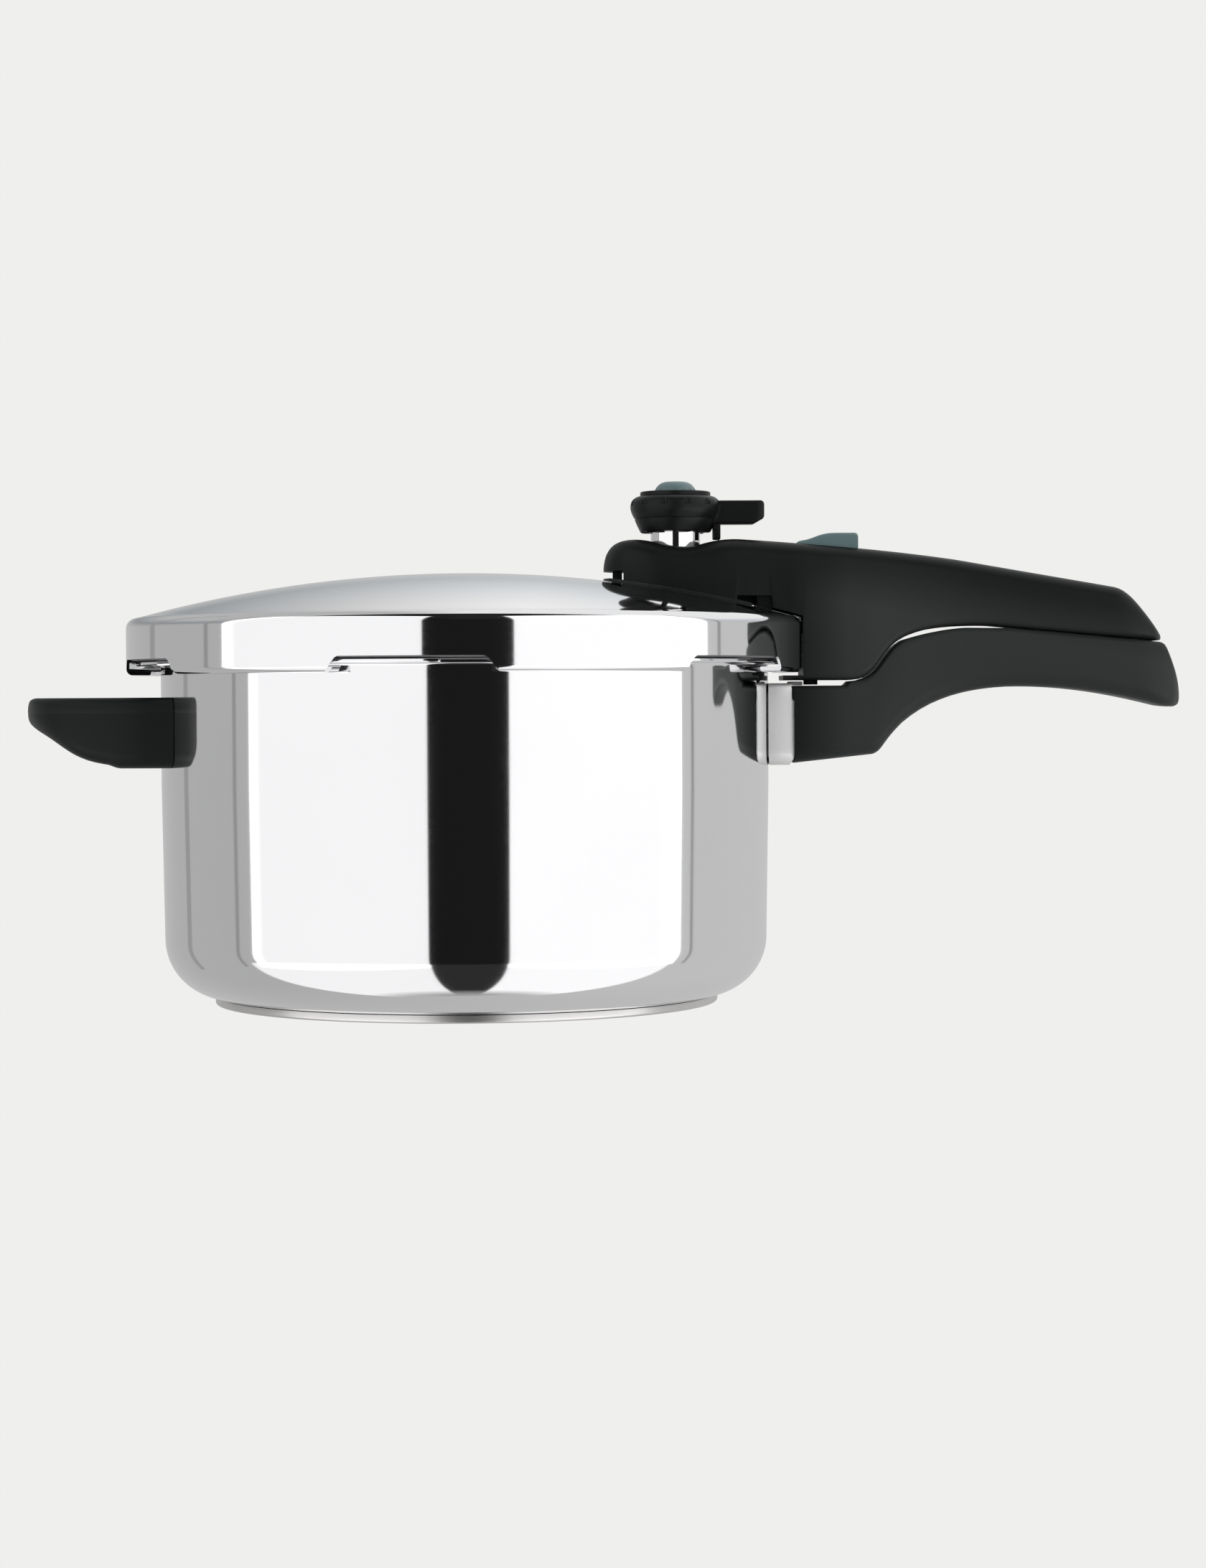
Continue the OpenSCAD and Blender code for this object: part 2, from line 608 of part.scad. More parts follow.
module valve_knob() color([0.12, 0.13, 0.13]) translate([valve_x, 0, knob_z]) {
    r = knob_d / 2;
    difference() {
        union() {
            rotate_extrude() polygon(concat(
                [[0, 0], [r - 2.9, 0], [r - 2.4, 2]],
                bez([r - 2.2, 2.2], [r - 0.6, 3], [r, 6], [r, 8.8]),
                bez([r, 8.8], [r, 10.8], [r - 0.6, 12.3], [r - 2.6, 12.6]),
                [[r - 2.6, 15], [0, 15]]));
            // Lever, with the leg at its root
            translate([r - 4, -4.5, 3]) cube([lever_reach - r + 3, 9, 8.6]);
            translate([lever_reach - 1.1, -4.5, 4.2]) cube([1.1, 9, 7.4]);
            translate([r - 3.2, -4, -2.5]) cube([3.1, 8, 7]);
        }
        translate([0, 0, -5]) cylinder(d = valve_d + 0.12, h = 13.6);
        cylinder(r = 2.6, h = far);
        translate([0, 0, 11.3]) cylinder(d = cap_d + 2 * pass_gap, h = 10);
    }
}

// ---------- Locks ----------

module lock_slider() color([0.38, 0.47, 0.49]) {
    front = skirt_r - 2;
    side(17.4) polygon(concat(
        [[front, track_z + 0.15], [front, track_z + 3.6], [front + 4, track_z + 4.2]],
        bez([front + 4, track_z + 4.2], [front + 8, track_z + 6], [front + 9, track_z + 6.5],
            [front + 13.5, track_z + 6.5]),
        [[front + slider_len - 0.8, track_z + 6.5], [front + slider_len, track_z + 5.5],
         [front + slider_len, track_z + 0.15]]));
    // Stem that moves the bolt
    slab(skirt_r + 8.6, skirt_r + 14.6, 2.4, strap_z - 5, track_z + 1);
}

module lock_bolt() color([0.65, 0.65, 0.65]) {
    pin_head_z = rim_z + 17.5;
    ramp_z = pin_head_z + 0.8;
    foot_z = ramp_z - ramp_rate * (slider_travel + 2);
    front_x = float_x + float_d / 2 + float_ring + pass_gap;
    difference() {
        union() {
            side(7) polygon([
                [front_x, strap_z - 4], [skirt_r - 2.5, strap_z - 4],
                [pin_x - 4, ramp_z + ramp_rate * 4], [pin_x + slider_travel + 2, foot_z],
                [pin_x + slider_travel + 6, foot_z], [pin_x + slider_travel + 6, strap_z - 8],
                [skirt_r + 24, strap_z - 8], [skirt_r + 24, strap_z - 2.5],
                [front_x, strap_z - 2.5]]);
            slab(front_x, skirt_r - 8, 5, strap_z - 4, strap_z - 2.5);
        }
        // Socket of the slider's stem
        slab(skirt_r + 8.6, skirt_r + 14.6, 2.4, strap_z - 5, far);
        // Hole that the pressure float rises into
        translate([float_x + slider_travel, 0, 0]) rod(float_d / 2 + float_ring + pass_gap, 0, far);
    }
}

module lock_pin() color([0.7, 0.7, 0.7]) translate([pin_x, 0, 0]) {
    r = lock_pin_d / 2;
    rotate_extrude() polygon(concat(
        [[0, handle_gap_z + 1], [r - 0.4, handle_gap_z + 1], [r, handle_gap_z + 1.5],
         [r, rim_z + 13], [r + 1.6, rim_z + 13], [r + 1.6, rim_z + 14.4], [r, rim_z + 14.4]],
        arc(0, rim_z + 17.5 - r, r, 0, 90, 6)));
}

module pin_spring() color([0.6, 0.6, 0.6]) translate([pin_x, 0, 0]) {
    coil(lock_pin_d / 2 + 1.1, 0.3, rim_z + 1.6, rim_z + 12.9, 7);
}

pot_body();
base_core();
base_cap();
pot_bracket();
flame_guard();
pot_handle();
pot_handle_screw();
helper_bracket();
helper_handle();
helper_screw();
lid_shell();
gasket();
lid_handle_shell();
lid_handle_base();
lid_bracket();
lid_handle_screws();
vent_tube();
vent_nut();
vent_spacer();
vent_seal();
vent_filter();
safety_plug();
float_seal();
float_pin();
valve_body();
valve_plunger();
valve_spring();
valve_cap();
valve_knob();
lock_slider();
lock_bolt();
lock_pin();
pin_spring();
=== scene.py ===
import json
import math

import bmesh
import bpy
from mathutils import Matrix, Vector


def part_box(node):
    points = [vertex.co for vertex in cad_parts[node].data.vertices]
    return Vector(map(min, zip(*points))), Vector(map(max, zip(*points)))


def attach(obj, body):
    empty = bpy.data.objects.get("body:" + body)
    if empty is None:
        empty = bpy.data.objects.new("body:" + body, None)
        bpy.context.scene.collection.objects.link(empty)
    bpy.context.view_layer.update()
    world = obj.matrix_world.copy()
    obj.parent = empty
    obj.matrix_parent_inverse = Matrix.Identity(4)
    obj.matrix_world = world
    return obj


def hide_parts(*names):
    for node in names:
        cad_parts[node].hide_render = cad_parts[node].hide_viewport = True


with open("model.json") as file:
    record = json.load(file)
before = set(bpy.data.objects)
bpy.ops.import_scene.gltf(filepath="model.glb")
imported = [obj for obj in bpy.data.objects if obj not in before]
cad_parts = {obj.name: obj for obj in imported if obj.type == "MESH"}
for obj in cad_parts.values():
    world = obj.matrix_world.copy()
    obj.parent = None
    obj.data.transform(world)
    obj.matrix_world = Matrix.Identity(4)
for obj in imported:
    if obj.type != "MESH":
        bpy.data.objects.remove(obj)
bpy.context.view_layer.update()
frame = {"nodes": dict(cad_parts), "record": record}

MM = 0.001
SAME = 0.0002 * MM  # places closer than this count as one
MERGE = MM / 1000  # doubled vertices within this distance are merged
TURN = 2 * math.pi
FAR = 400 * MM  # above every piece
WIDE = 30 * MM  # tools that cut right across a handle reach this far to each side
BELOW = 100 * MM  # tools that cut the lid handle from below start at this height
PALE = (0.863, 0.863, 0.847, 1)  # the backdrop's colour
SLOTS = {part["node"]: part["material_slot"] for part in frame["record"]["subparts"]}

# ---------------------------------------------------------------- sizes

lid_low, lid_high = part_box("lid_shell")
pot_low, pot_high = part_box("pot_body")
guard_low, guard_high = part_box("flame_guard")
valve_low, valve_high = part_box("valve_body")
button_low, button_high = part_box("valve_cap")
helper_low, helper_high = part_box("helper_handle")
pin_low, pin_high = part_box("lock_pin")
slider_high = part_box("lock_slider")[1]

SKIRT_R = lid_high.x
TAB_Z = lid_low.z
DOME_TOP = lid_high.z
RIM_Z = pot_high.z
BASE_Z = pot_low.z
BASE_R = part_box("base_cap")[1].x

BODY_WALL = 0.9 * MM
BODY_R = SKIRT_R - 12.3 * MM
BODY_TAPER = 0.9 * MM
BOTTOM_R = 21 * MM
STRAIGHT_Z = RIM_Z - 45 * MM
FLANGE_T = 1.5 * MM
FLANGE_REACH = 2.5 * MM
LUG_REACH = 9 * MM
LUG_ANGLE = 23

LID_T = 1 * MM
SHOULDER_R = 3.8 * MM
DOME_RISE = 16 * MM
SHOULDER_Z = DOME_TOP - DOME_RISE
CROWN_R = SKIRT_R - SHOULDER_R
DOME_R = (CROWN_R ** 2 + DOME_RISE ** 2) / (2 * DOME_RISE)
DOME_C = DOME_TOP - DOME_R
LIP_T = 1.9 * MM
LIP_IN = BODY_R + FLANGE_REACH + 1 * MM
NOTCH_Z = TAB_Z + 5.6 * MM
TAB_COUNT = 6
TAB_ANGLE = 34
FIRST_TAB = -66.4

UPPER_Z = DOME_TOP - 31.7 * MM  # the lid handle's heights are measured from here
CEILING_Z = UPPER_Z + 36.6 * MM  # top of the hollow in the lid handle
TRACK_Z = UPPER_Z + 39.2 * MM  # floor of the slider's track
VALVE_X = (valve_low.x + valve_high.x) / 2
VALVE_R = (valve_high.x - valve_low.x) / 2
KNOB_R = 16.35 * MM
KNOB_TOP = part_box("valve_knob")[1].z
LEVER_TIP = VALVE_X + 32.2 * MM
PIN_X = (pin_low.x + pin_high.x) / 2
PIN_BORE_R = 1.6 * MM
SPRING_TOP = RIM_Z + 12 * MM
SCREW_Z = RIM_Z - 26 * MM
NOSE_X = SKIRT_R - 72 * MM
LID_HANDLE_END = SKIRT_R + 130.4 * MM
POT_HANDLE_END = SKIRT_R + 137.1 * MM
NOSE_HALF_W = 19 * MM
FRONT_HALF_W = NOSE_HALF_W - 6 * MM
ROOT_HALF_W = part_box("pot_handle")[1].y
WAIST_HALF_W = ROOT_HALF_W - 2.5 * MM
END_HALF_W = ROOT_HALF_W - 1 * MM
HELPER_HALF_W = helper_high.y
UPPER_EDGES = (3.0 * MM, 7.5 * MM)  # radii of the low and the high edges
LOWER_EDGES = (5.5 * MM, 2.6 * MM)
HELPER_EDGES = (5 * MM, 3 * MM)

PANEL_FAR = 1350 * MM  # distance of the light panels from the pot's axis
PANEL_TALL = 2100 * MM
PANEL_Z = 550 * MM


def dome_z(r, offset=0.0):
    """Height of the dome's surface at radius r, moved out by an offset."""
    return DOME_C + math.sqrt((DOME_R + offset) ** 2 - r * r)


# ---------------------------------------------------------------- modelling by hand


def start_clean():
    if bpy.context.object and bpy.context.object.mode != "OBJECT":
        bpy.ops.object.mode_set(mode="OBJECT")
    bpy.ops.object.select_all(action="DESELECT")


def pick(piece):
    start_clean()
    piece.select_set(True)
    bpy.context.view_layer.objects.active = piece


def edit_all(piece):
    """Opens a piece for editing with its whole mesh selected."""
    pick(piece)
    bpy.ops.object.mode_set(mode="EDIT")
    bpy.ops.mesh.select_all(action="SELECT")


def new_piece(name):
    """A new object in edit mode with an empty mesh."""
    start_clean()
    bpy.ops.mesh.primitive_plane_add(size=MM)
    piece = bpy.context.object
    piece.name = name
    piece.data.name = name
    bpy.ops.object.mode_set(mode="EDIT")
    bpy.ops.mesh.select_mode(type="VERT")
    bpy.ops.mesh.delete(type="VERT")
    return piece


def draw(points):
    """Extrudes one vertex along the points."""
    bpy.ops.mesh.primitive_plane_add(size=MM)
    bpy.ops.mesh.merge(type="CENTER")
    bpy.ops.transform.translate(value=points[0])
    for a, b in zip(points, points[1:]):
        step = Vector(b) - Vector(a)
        bpy.ops.mesh.extrude_region_move(TRANSFORM_OT_translate={"value": step})


def draw_ring(points):
    """Draws a closed line of points and leaves it selected."""
    draw([*points, points[0]])
    bpy.ops.mesh.select_all(action="SELECT")
    bpy.ops.mesh.remove_doubles(threshold=MERGE)


def weld():
    bpy.ops.mesh.select_all(action="SELECT")
    bpy.ops.mesh.remove_doubles(threshold=MERGE)
    bpy.ops.mesh.normals_make_consistent(inside=False)


def close_piece(piece, angle=35):
    bpy.ops.object.mode_set(mode="OBJECT")
    pick(piece)
    bpy.ops.object.shade_smooth_by_angle(angle=math.radians(angle))
    return piece


def revolve(name, profile, centre=(0.0, 0.0), steps=128, angle=TURN, start=0.0, smooth=35):
    """Spins a closed outline of (radius, height) points about a vertical axis."""
    piece = new_piece(name)
    c, s = math.cos(start), math.sin(start)
    draw_ring([(centre[0] + r * c, centre[1] + r * s, z) for r, z in profile])
    if angle < TURN:
        bpy.ops.mesh.edge_face_add()
    bpy.ops.mesh.spin(steps=steps, angle=angle, center=(*centre, 0), axis=(0, 0, 1))
    if angle < TURN:
        weld()
        bpy.ops.mesh.select_all(action="DESELECT")
        mesh = bmesh.from_edit_mesh(piece.data)
        open_edges = [edge for edge in mesh.edges if edge.is_boundary]
        for edge in open_edges:
            edge.select_set(True)
        bmesh.update_edit_mesh(piece.data)
        if open_edges:
            bpy.ops.mesh.edge_face_add()
    weld()
    return close_piece(piece, smooth)


def prism(name, outline, half_depth):
    """An outline of (x, z) points, extruded across Y."""
    piece = new_piece(name)
    draw_ring([(x, -half_depth, z) for x, z in outline])
    bpy.ops.mesh.edge_face_add()
    move = {"value": (0, 2 * half_depth, 0)}
    bpy.ops.mesh.extrude_region_move(TRANSFORM_OT_translate=move)
    weld()
    return close_piece(piece)


def block(name, low, high, edge=0.0, steps=3):
    """A box between two corners, with its edges rounded."""
    start_clean()
    centre = [(a + b) / 2 for a, b in zip(low, high)]
    bpy.ops.mesh.primitive_cube_add(size=1, location=(0, 0, 0))
    piece = bpy.context.object
    piece.name = name
    edit_all(piece)
    bpy.ops.transform.resize(value=[b - a for a, b in zip(low, high)])
    bpy.ops.transform.translate(value=centre)
    if edge:
        bpy.ops.mesh.bevel(offset=edge, segments=steps, affect="EDGES")
    weld()
    return close_piece(piece)


def shift_mesh(piece, value):
    """Moves a piece's mesh and leaves the object at the origin."""
    edit_all(piece)
    bpy.ops.transform.translate(value=value)
    bpy.ops.object.mode_set(mode="OBJECT")


def cylinder(name, centre, radius, length, steps, rotation=(0, 0, 0)):
    start_clean()
    bpy.ops.mesh.primitive_cylinder_add(vertices=steps, radius=radius, depth=length, rotation=rotation)
    piece = bpy.context.object
    piece.name = name
    edit_all(piece)
    bpy.ops.transform.translate(value=centre)
    return close_piece(piece)


def rod(name, x, y, radius, z0, z1, steps=64):
    """An upright cylinder between two heights."""
    return cylinder(name, (x, y, (z0 + z1) / 2), radius, z1 - z0, steps)


def pick_corners(piece, x, level=None):
    """Picks the corners at one place along X, and at one height if it is given."""
    bpy.ops.mesh.select_all(action="DESELECT")
    mesh = bmesh.from_edit_mesh(piece.data)
    for vertex in mesh.verts:
        near = level is None or abs(vertex.co.z - level) < SAME
        vertex.select_set(near and abs(vertex.co.x - x) < SAME)
    mesh.select_flush(True)
    bmesh.update_edit_mesh(piece.data)


def pick_rings(piece, places):
    """Picks the edges that run round a piece at the given places along X."""
    bpy.ops.mesh.select_all(action="DESELECT")
    mesh = bmesh.from_edit_mesh(piece.data)
    for edge_item in mesh.edges:
        a, b = (vertex.co.x for vertex in edge_item.verts)
        if abs(a - b) < SAME and min(abs(a - x) for x in places) < SAME:
            edge_item.select_set(True)
    bmesh.update_edit_mesh(piece.data)


def loft(name, stations, corner_steps=6, smooth=35):
    """Bridges rounded rectangles along X.

    A station is (x, half width, low z, high z, radii of the low and the high edges).
    """
    piece = new_piece(name)
    for index, (x, half_w, low, high, edges) in enumerate(stations):
        centre = (x, 0, (low + high) / 2)
        bpy.ops.mesh.select_all(action="DESELECT")
        bpy.ops.mesh.primitive_plane_add(size=1, location=centre, rotation=(0, TURN / 4, 0))
        size = (1, 2 * half_w, high - low)
        bpy.ops.transform.resize(value=size, center_override=centre)
        limit = 0.96 * min(half_w, (high - low) / 2)
        for radius, level in zip(edges, (low, high)):
            pick_corners(piece, x, level)
            bpy.ops.mesh.bevel(offset=min(radius, limit), segments=corner_steps, affect="VERTICES")
        pick_corners(piece, x)
        bpy.ops.mesh.delete(type="ONLY_FACE")
        if index:
            pick_rings(piece, (stations[index - 1][0], x))
            bpy.ops.mesh.bridge_edge_loops()
    bpy.ops.mesh.select_all(action="DESELECT")
    mesh = bmesh.from_edit_mesh(piece.data)
    for edge_item in mesh.edges:
        edge_item.select_set(edge_item.is_boundary)
    bmesh.update_edit_mesh(piece.data)
    bpy.ops.mesh.edge_face_add()
    bpy.ops.mesh.select_all(action="SELECT")
    bpy.ops.mesh.normals_make_consistent(inside=False)
    return close_piece(piece, smooth)


def apply_modifier(piece, kind, **settings):
    pick(piece)
    modifier = piece.modifiers.new(kind.lower(), kind)
    for key, value in settings.items():
        setattr(modifier, key, value)
    bpy.ops.object.modifier_apply(modifier=modifier.name)


def combine(piece, others, operation="DIFFERENCE"):
    """Cuts the others out of the piece, or joins them to it, and removes them."""
    for other in others:
        apply_modifier(piece, "BOOLEAN", object=other, operation=operation, solver="EXACT")
        bpy.data.objects.remove(other)


def soften(piece, width, angle=40, steps=2):
    """Rounds the edges that are sharper than an angle."""
    apply_modifier(piece, "BEVEL", width=width, segments=steps, limit_method="ANGLE",
                   angle_limit=math.radians(angle), use_clamp_overlap=True)
    pick(piece)
    bpy.ops.object.shade_smooth_by_angle(angle=math.radians(35))


def steady_normals(piece):
    apply_modifier(piece, "WEIGHTED_NORMAL", keep_sharp=True, weight=80)


def bez(*knots, steps=10):
    """Points of cubic curves end to end, without the last knot: every third knot is on the line."""
    points = []
    for ends in zip(knots[::3], knots[1::3], knots[2::3], knots[3::3]):
        for i in range(steps):
            t = i / steps
            u = 1 - t
            points.append(tuple(u ** 3 * p + 3 * u * u * t * q + 3 * u * t * t * r + t ** 3 * s
                                for p, q, r, s in zip(*ends)))
    return points


def back_along(*knots):
    """The same curves, walked from the last knot to the first."""
    return list(reversed(bez(*knots)))


def arc(cx, cz, r, a0, a1, steps):
    """Points of an arc between two angles in degrees, both ends included."""
    angles = [math.radians(a0 + (a1 - a0) * i / steps) for i in range(steps + 1)]
    return [(cx + r * math.cos(a), cz + r * math.sin(a)) for a in angles]


def up(x, z):
    """A place in the lid handle's outline, in millimetres from the skirt."""
    return (SKIRT_R + x * MM, UPPER_Z + z * MM)


def low(x, z):
    """A place in the pot handle's outline, in millimetres from the skirt and the rim."""
    return (SKIRT_R + x * MM, RIM_Z + z * MM)


def along(points, x):
    """Height of an outline at x, where the outline runs in the direction of X."""
    if x <= points[0][0]:
        return points[0][1]
    for (x0, z0), (x1, z1) in zip(points, points[1:]):
        if x <= x1:
            return z0 + (z1 - z0) * (x - x0) / max(x1 - x0, 1e-9)
    return points[-1][1]


# ---------------------------------------------------------------- shared shader groups


def new_group(name, inputs, outputs):
    group = bpy.data.node_groups.new(name, "ShaderNodeTree")
    for label, kind, value in inputs:
        socket = group.interface.new_socket(label, in_out="INPUT", socket_type=kind)
        if value is not None:
            socket.default_value = value
    for label, kind in outputs:
        group.interface.new_socket(label, in_out="OUTPUT", socket_type=kind)
    return group, group.nodes.new("NodeGroupInput"), group.nodes.new("NodeGroupOutput")


def node(tree, kind, **settings):
    item = tree.nodes.new(kind)
    for key, value in settings.items():
        setattr(item, key, value)
    return item


def feed(tree, item, **values):
    """Sets sockets to numbers or colours, or links other sockets to them. _ stands for a space."""
    for label, value in values.items():
        socket = item.inputs[label.replace("_", " ")]
        if isinstance(value, bpy.types.NodeSocket):
            tree.links.new(value, socket)
        else:
            socket.default_value = value
    return item


def math_node(tree, operation, a, b=None, clamp=False):
    item = node(tree, "ShaderNodeMath", operation=operation, use_clamp=clamp)
    for socket, value in zip(item.inputs, (a, b)):
        if isinstance(value, bpy.types.NodeSocket):
            tree.links.new(value, socket)
        elif value is not None:
            socket.default_value = value
    return item.outputs[0]


def ramp_between(tree, value, low_in, high_in, low_out, high_out):
    """Goes straight from one value to another between two inputs, and stays level outside them."""
    item = feed(tree, node(tree, "ShaderNodeMapRange"), Value=value, From_Min=low_in,
                From_Max=high_in, To_Min=low_out, To_Max=high_out)
    return item.outputs["Result"]


def noise(tree, vector, scale, detail=2.0, roughness=0.5):
    item = feed(tree, node(tree, "ShaderNodeTexNoise"), Vector=vector, Scale=scale, Detail=detail,
                Roughness=roughness)
    return item.outputs["Fac"]


def object_place(tree):
    return node(tree, "ShaderNodeTexCoord").outputs["Object"]


def split(tree, vector):
    return feed(tree, node(tree, "ShaderNodeSeparateXYZ"), Vector=vector).outputs


def flat_length(tree, x, y):
    """Length of a direction or distance seen from above."""
    squares = [math_node(tree, "MULTIPLY", side, side) for side in (x, y)]
    return math_node(tree, "SQRT", math_node(tree, "ADD", *squares))


def make_smudge_group():
    """Faint handling marks: a mask of soft patches broken up by finer noise."""
    group, inside, outside = new_group(
        "handling_marks",
        [("Patch Scale", "NodeSocketFloat", 14.0), ("Amount", "NodeSocketFloat", 0.5)],
        [("Mask", "NodeSocketFloat")])
    place = object_place(group)
    patches = noise(group, place, inside.outputs["Patch Scale"], 3.0, 0.55)
    fine = noise(group, place, 420.0, 2.0, 0.6)
    soft = ramp_between(group, patches, 0.42, 0.72, 0.0, 1.0)
    broken = math_node(group, "MULTIPLY", soft, ramp_between(group, fine, 0.2, 0.8, 0.4, 1.0))
    mask = math_node(group, "MULTIPLY", broken, inside.outputs["Amount"], clamp=True)
    group.links.new(mask, outside.inputs["Mask"])
    return group


def make_brush_group():
    """Fine lines of brushed or polished metal, stretched along one direction."""
    group, inside, outside = new_group(
        "brush_lines",
        [("Stretch", "NodeSocketVector", (1, 1, 1)), ("Scale", "NodeSocketFloat", 900.0)],
        [("Lines", "NodeSocketFloat")])
    scaled = node(group, "ShaderNodeVectorMath", operation="MULTIPLY")
    group.links.new(object_place(group), scaled.inputs[0])
    group.links.new(inside.outputs["Stretch"], scaled.inputs[1])
    lines = noise(group, scaled.outputs["Vector"], inside.outputs["Scale"], 4.0, 0.65)
    group.links.new(lines, outside.inputs["Lines"])
    return group


def make_spun_group():
    """Concentric lines of a spun or turned metal surface about the pot's axis."""
    group, inside, outside = new_group(
        "spun_lines", [("Scale", "NodeSocketFloat", 900.0)], [("Lines", "NodeSocketFloat")])
    x, y, z = split(group, object_place(group))
    place = feed(group, node(group, "ShaderNodeCombineXYZ"), X=flat_length(group, x, y), Z=z)
    lines = noise(group, place.outputs[0], inside.outputs["Scale"], 3.0, 0.6)
    group.links.new(lines, outside.inputs["Lines"])
    return group


def make_grain_group():
    """Fine texture of a moulded surface, with slow changes of tone."""
    group, inside, outside = new_group(
        "moulded_grain",
        [("Grain Scale", "NodeSocketFloat", 2600.0), ("Tone Scale", "NodeSocketFloat", 30.0)],
        [("Grain", "NodeSocketFloat"), ("Tone", "NodeSocketFloat")])
    place = object_place(group)
    grain = noise(group, place, inside.outputs["Grain Scale"], 2.0, 0.6)
    tone = noise(group, place, inside.outputs["Tone Scale"], 3.0, 0.5)
    group.links.new(grain, outside.inputs["Grain"])
    group.links.new(tone, outside.inputs["Tone"])
    return group


HANDLING = make_smudge_group()
BRUSH = make_brush_group()
SPUN = make_spun_group()
GRAIN = make_grain_group()


def use_group(tree, group, **values):
    return feed(tree, node(tree, "ShaderNodeGroup", node_tree=group), **values)


def new_material(name):
    material = bpy.data.materials.new(name)
    material.use_nodes = True
    tree = material.node_tree
    return material, tree, tree.nodes["Principled BSDF"]


def colour_between(tree, factor, first, second):
    """Mixes two colours. Each is three numbers, or a socket."""
    item = node(tree, "ShaderNodeMix", data_type="RGBA")
    tree.links.new(factor, item.inputs["Factor"])
    for label, colour in (("A", first), ("B", second)):
        if isinstance(colour, tuple):
            colour = (*colour, 1)
        feed(tree, item, **{label: colour})
    return item.outputs["Result"]


def add_bump(tree, shader, height, strength, distance):
    bump = feed(tree, node(tree, "ShaderNodeBump"), Strength=strength, Distance=distance, Height=height)
    tree.links.new(bump.outputs["Normal"], shader.inputs["Normal"])


def polished_steel(name, tone, tone_marked, rough, rough_marked, line_strength=0.02):
    """Mirror-polished stainless steel with faint spun lines and handling marks."""
    material, tree, shader = new_material(name)
    marks = use_group(tree, HANDLING, Patch_Scale=9.0, Amount=0.6).outputs["Mask"]
    lines = use_group(tree, SPUN, Scale=1500.0).outputs["Lines"]
    spread = ramp_between(tree, lines, 0.3, 0.7, 0.0, 0.015)
    base = ramp_between(tree, marks, 0.0, 1.0, rough, rough_marked)
    feed(tree, shader, Metallic=1.0, Base_Color=colour_between(tree, marks, tone, tone_marked),
         Roughness=math_node(tree, "ADD", base, spread))
    add_bump(tree, shader, lines, line_strength, 0.02 * MM)
    return material


def brushed_steel(name, tone, tone_dark, rough, stretch, scale=260.0, strength=0.25):
    """Steel brushed in one direction: streaks vary its tone, roughness and relief."""
    material, tree, shader = new_material(name)
    lines = use_group(tree, BRUSH, Stretch=stretch, Scale=scale).outputs["Lines"]
    feed(tree, shader, Metallic=1.0, Base_Color=colour_between(tree, lines, tone_dark, tone),
         Roughness=ramp_between(tree, lines, 0.3, 0.7, rough, rough + 0.14))
    add_bump(tree, shader, lines, strength, 0.05 * MM)
    return material


def painted_lower_light(tree):
    """Mask of painted light on the long handles: it grows from their root outwards, and down from their
    sloping top edge.
    """
    x, _, z = split(tree, object_place(tree))
    depth = math_node(tree, "ADD", z, math_node(tree, "MULTIPLY", x, 0.2))
    out = ramp_between(tree, x, SKIRT_R - 5 * MM, SKIRT_R + 16 * MM, 0.0, 1.0)
    down = ramp_between(tree, depth, UPPER_Z + 67 * MM, UPPER_Z + 48 * MM, 0.0, 1.0)
    return math_node(tree, "MULTIPLY", out, down)


def moulded(name, tone, tone_light, rough, specular=0.3, painted_light_tone=None):
    """Satin moulded plastic with a fine grain and glossier patches, with optional painted light that
    makes the handles' sides lighter lower down.
    """
    material, tree, shader = new_material(name)
    texture = use_group(tree, GRAIN, Grain_Scale=2600.0, Tone_Scale=28.0)
    marks = use_group(tree, HANDLING, Patch_Scale=22.0, Amount=0.5).outputs["Mask"]
    colour = colour_between(tree, texture.outputs["Tone"], tone, tone_light)
    # Painted light: blends towards a lighter tone down the handles' sides and out from their root.
    if painted_light_tone:
        colour = colour_between(tree, painted_lower_light(tree), colour, painted_light_tone)
    feed(tree, shader, Specular_IOR_Level=specular, Base_Color=colour,
         Roughness=ramp_between(tree, marks, 0.0, 1.0, rough, rough - 0.1))
    add_bump(tree, shader, texture.outputs["Grain"], 0.25, 0.05 * MM)
    return material


def silicone(name, tone, tone_light):
    material, tree, shader = new_material(name)
    texture = use_group(tree, GRAIN, Grain_Scale=900.0, Tone_Scale=40.0)
    shade = texture.outputs["Tone"]
    feed(tree, shader, Subsurface_Weight=0.05, Base_Color=colour_between(tree, shade, tone, tone_light),
         Roughness=ramp_between(tree, shade, 0.3, 0.7, 0.45, 0.62))
    add_bump(tree, shader, texture.outputs["Grain"], 0.15, 0.08 * MM)
    return material


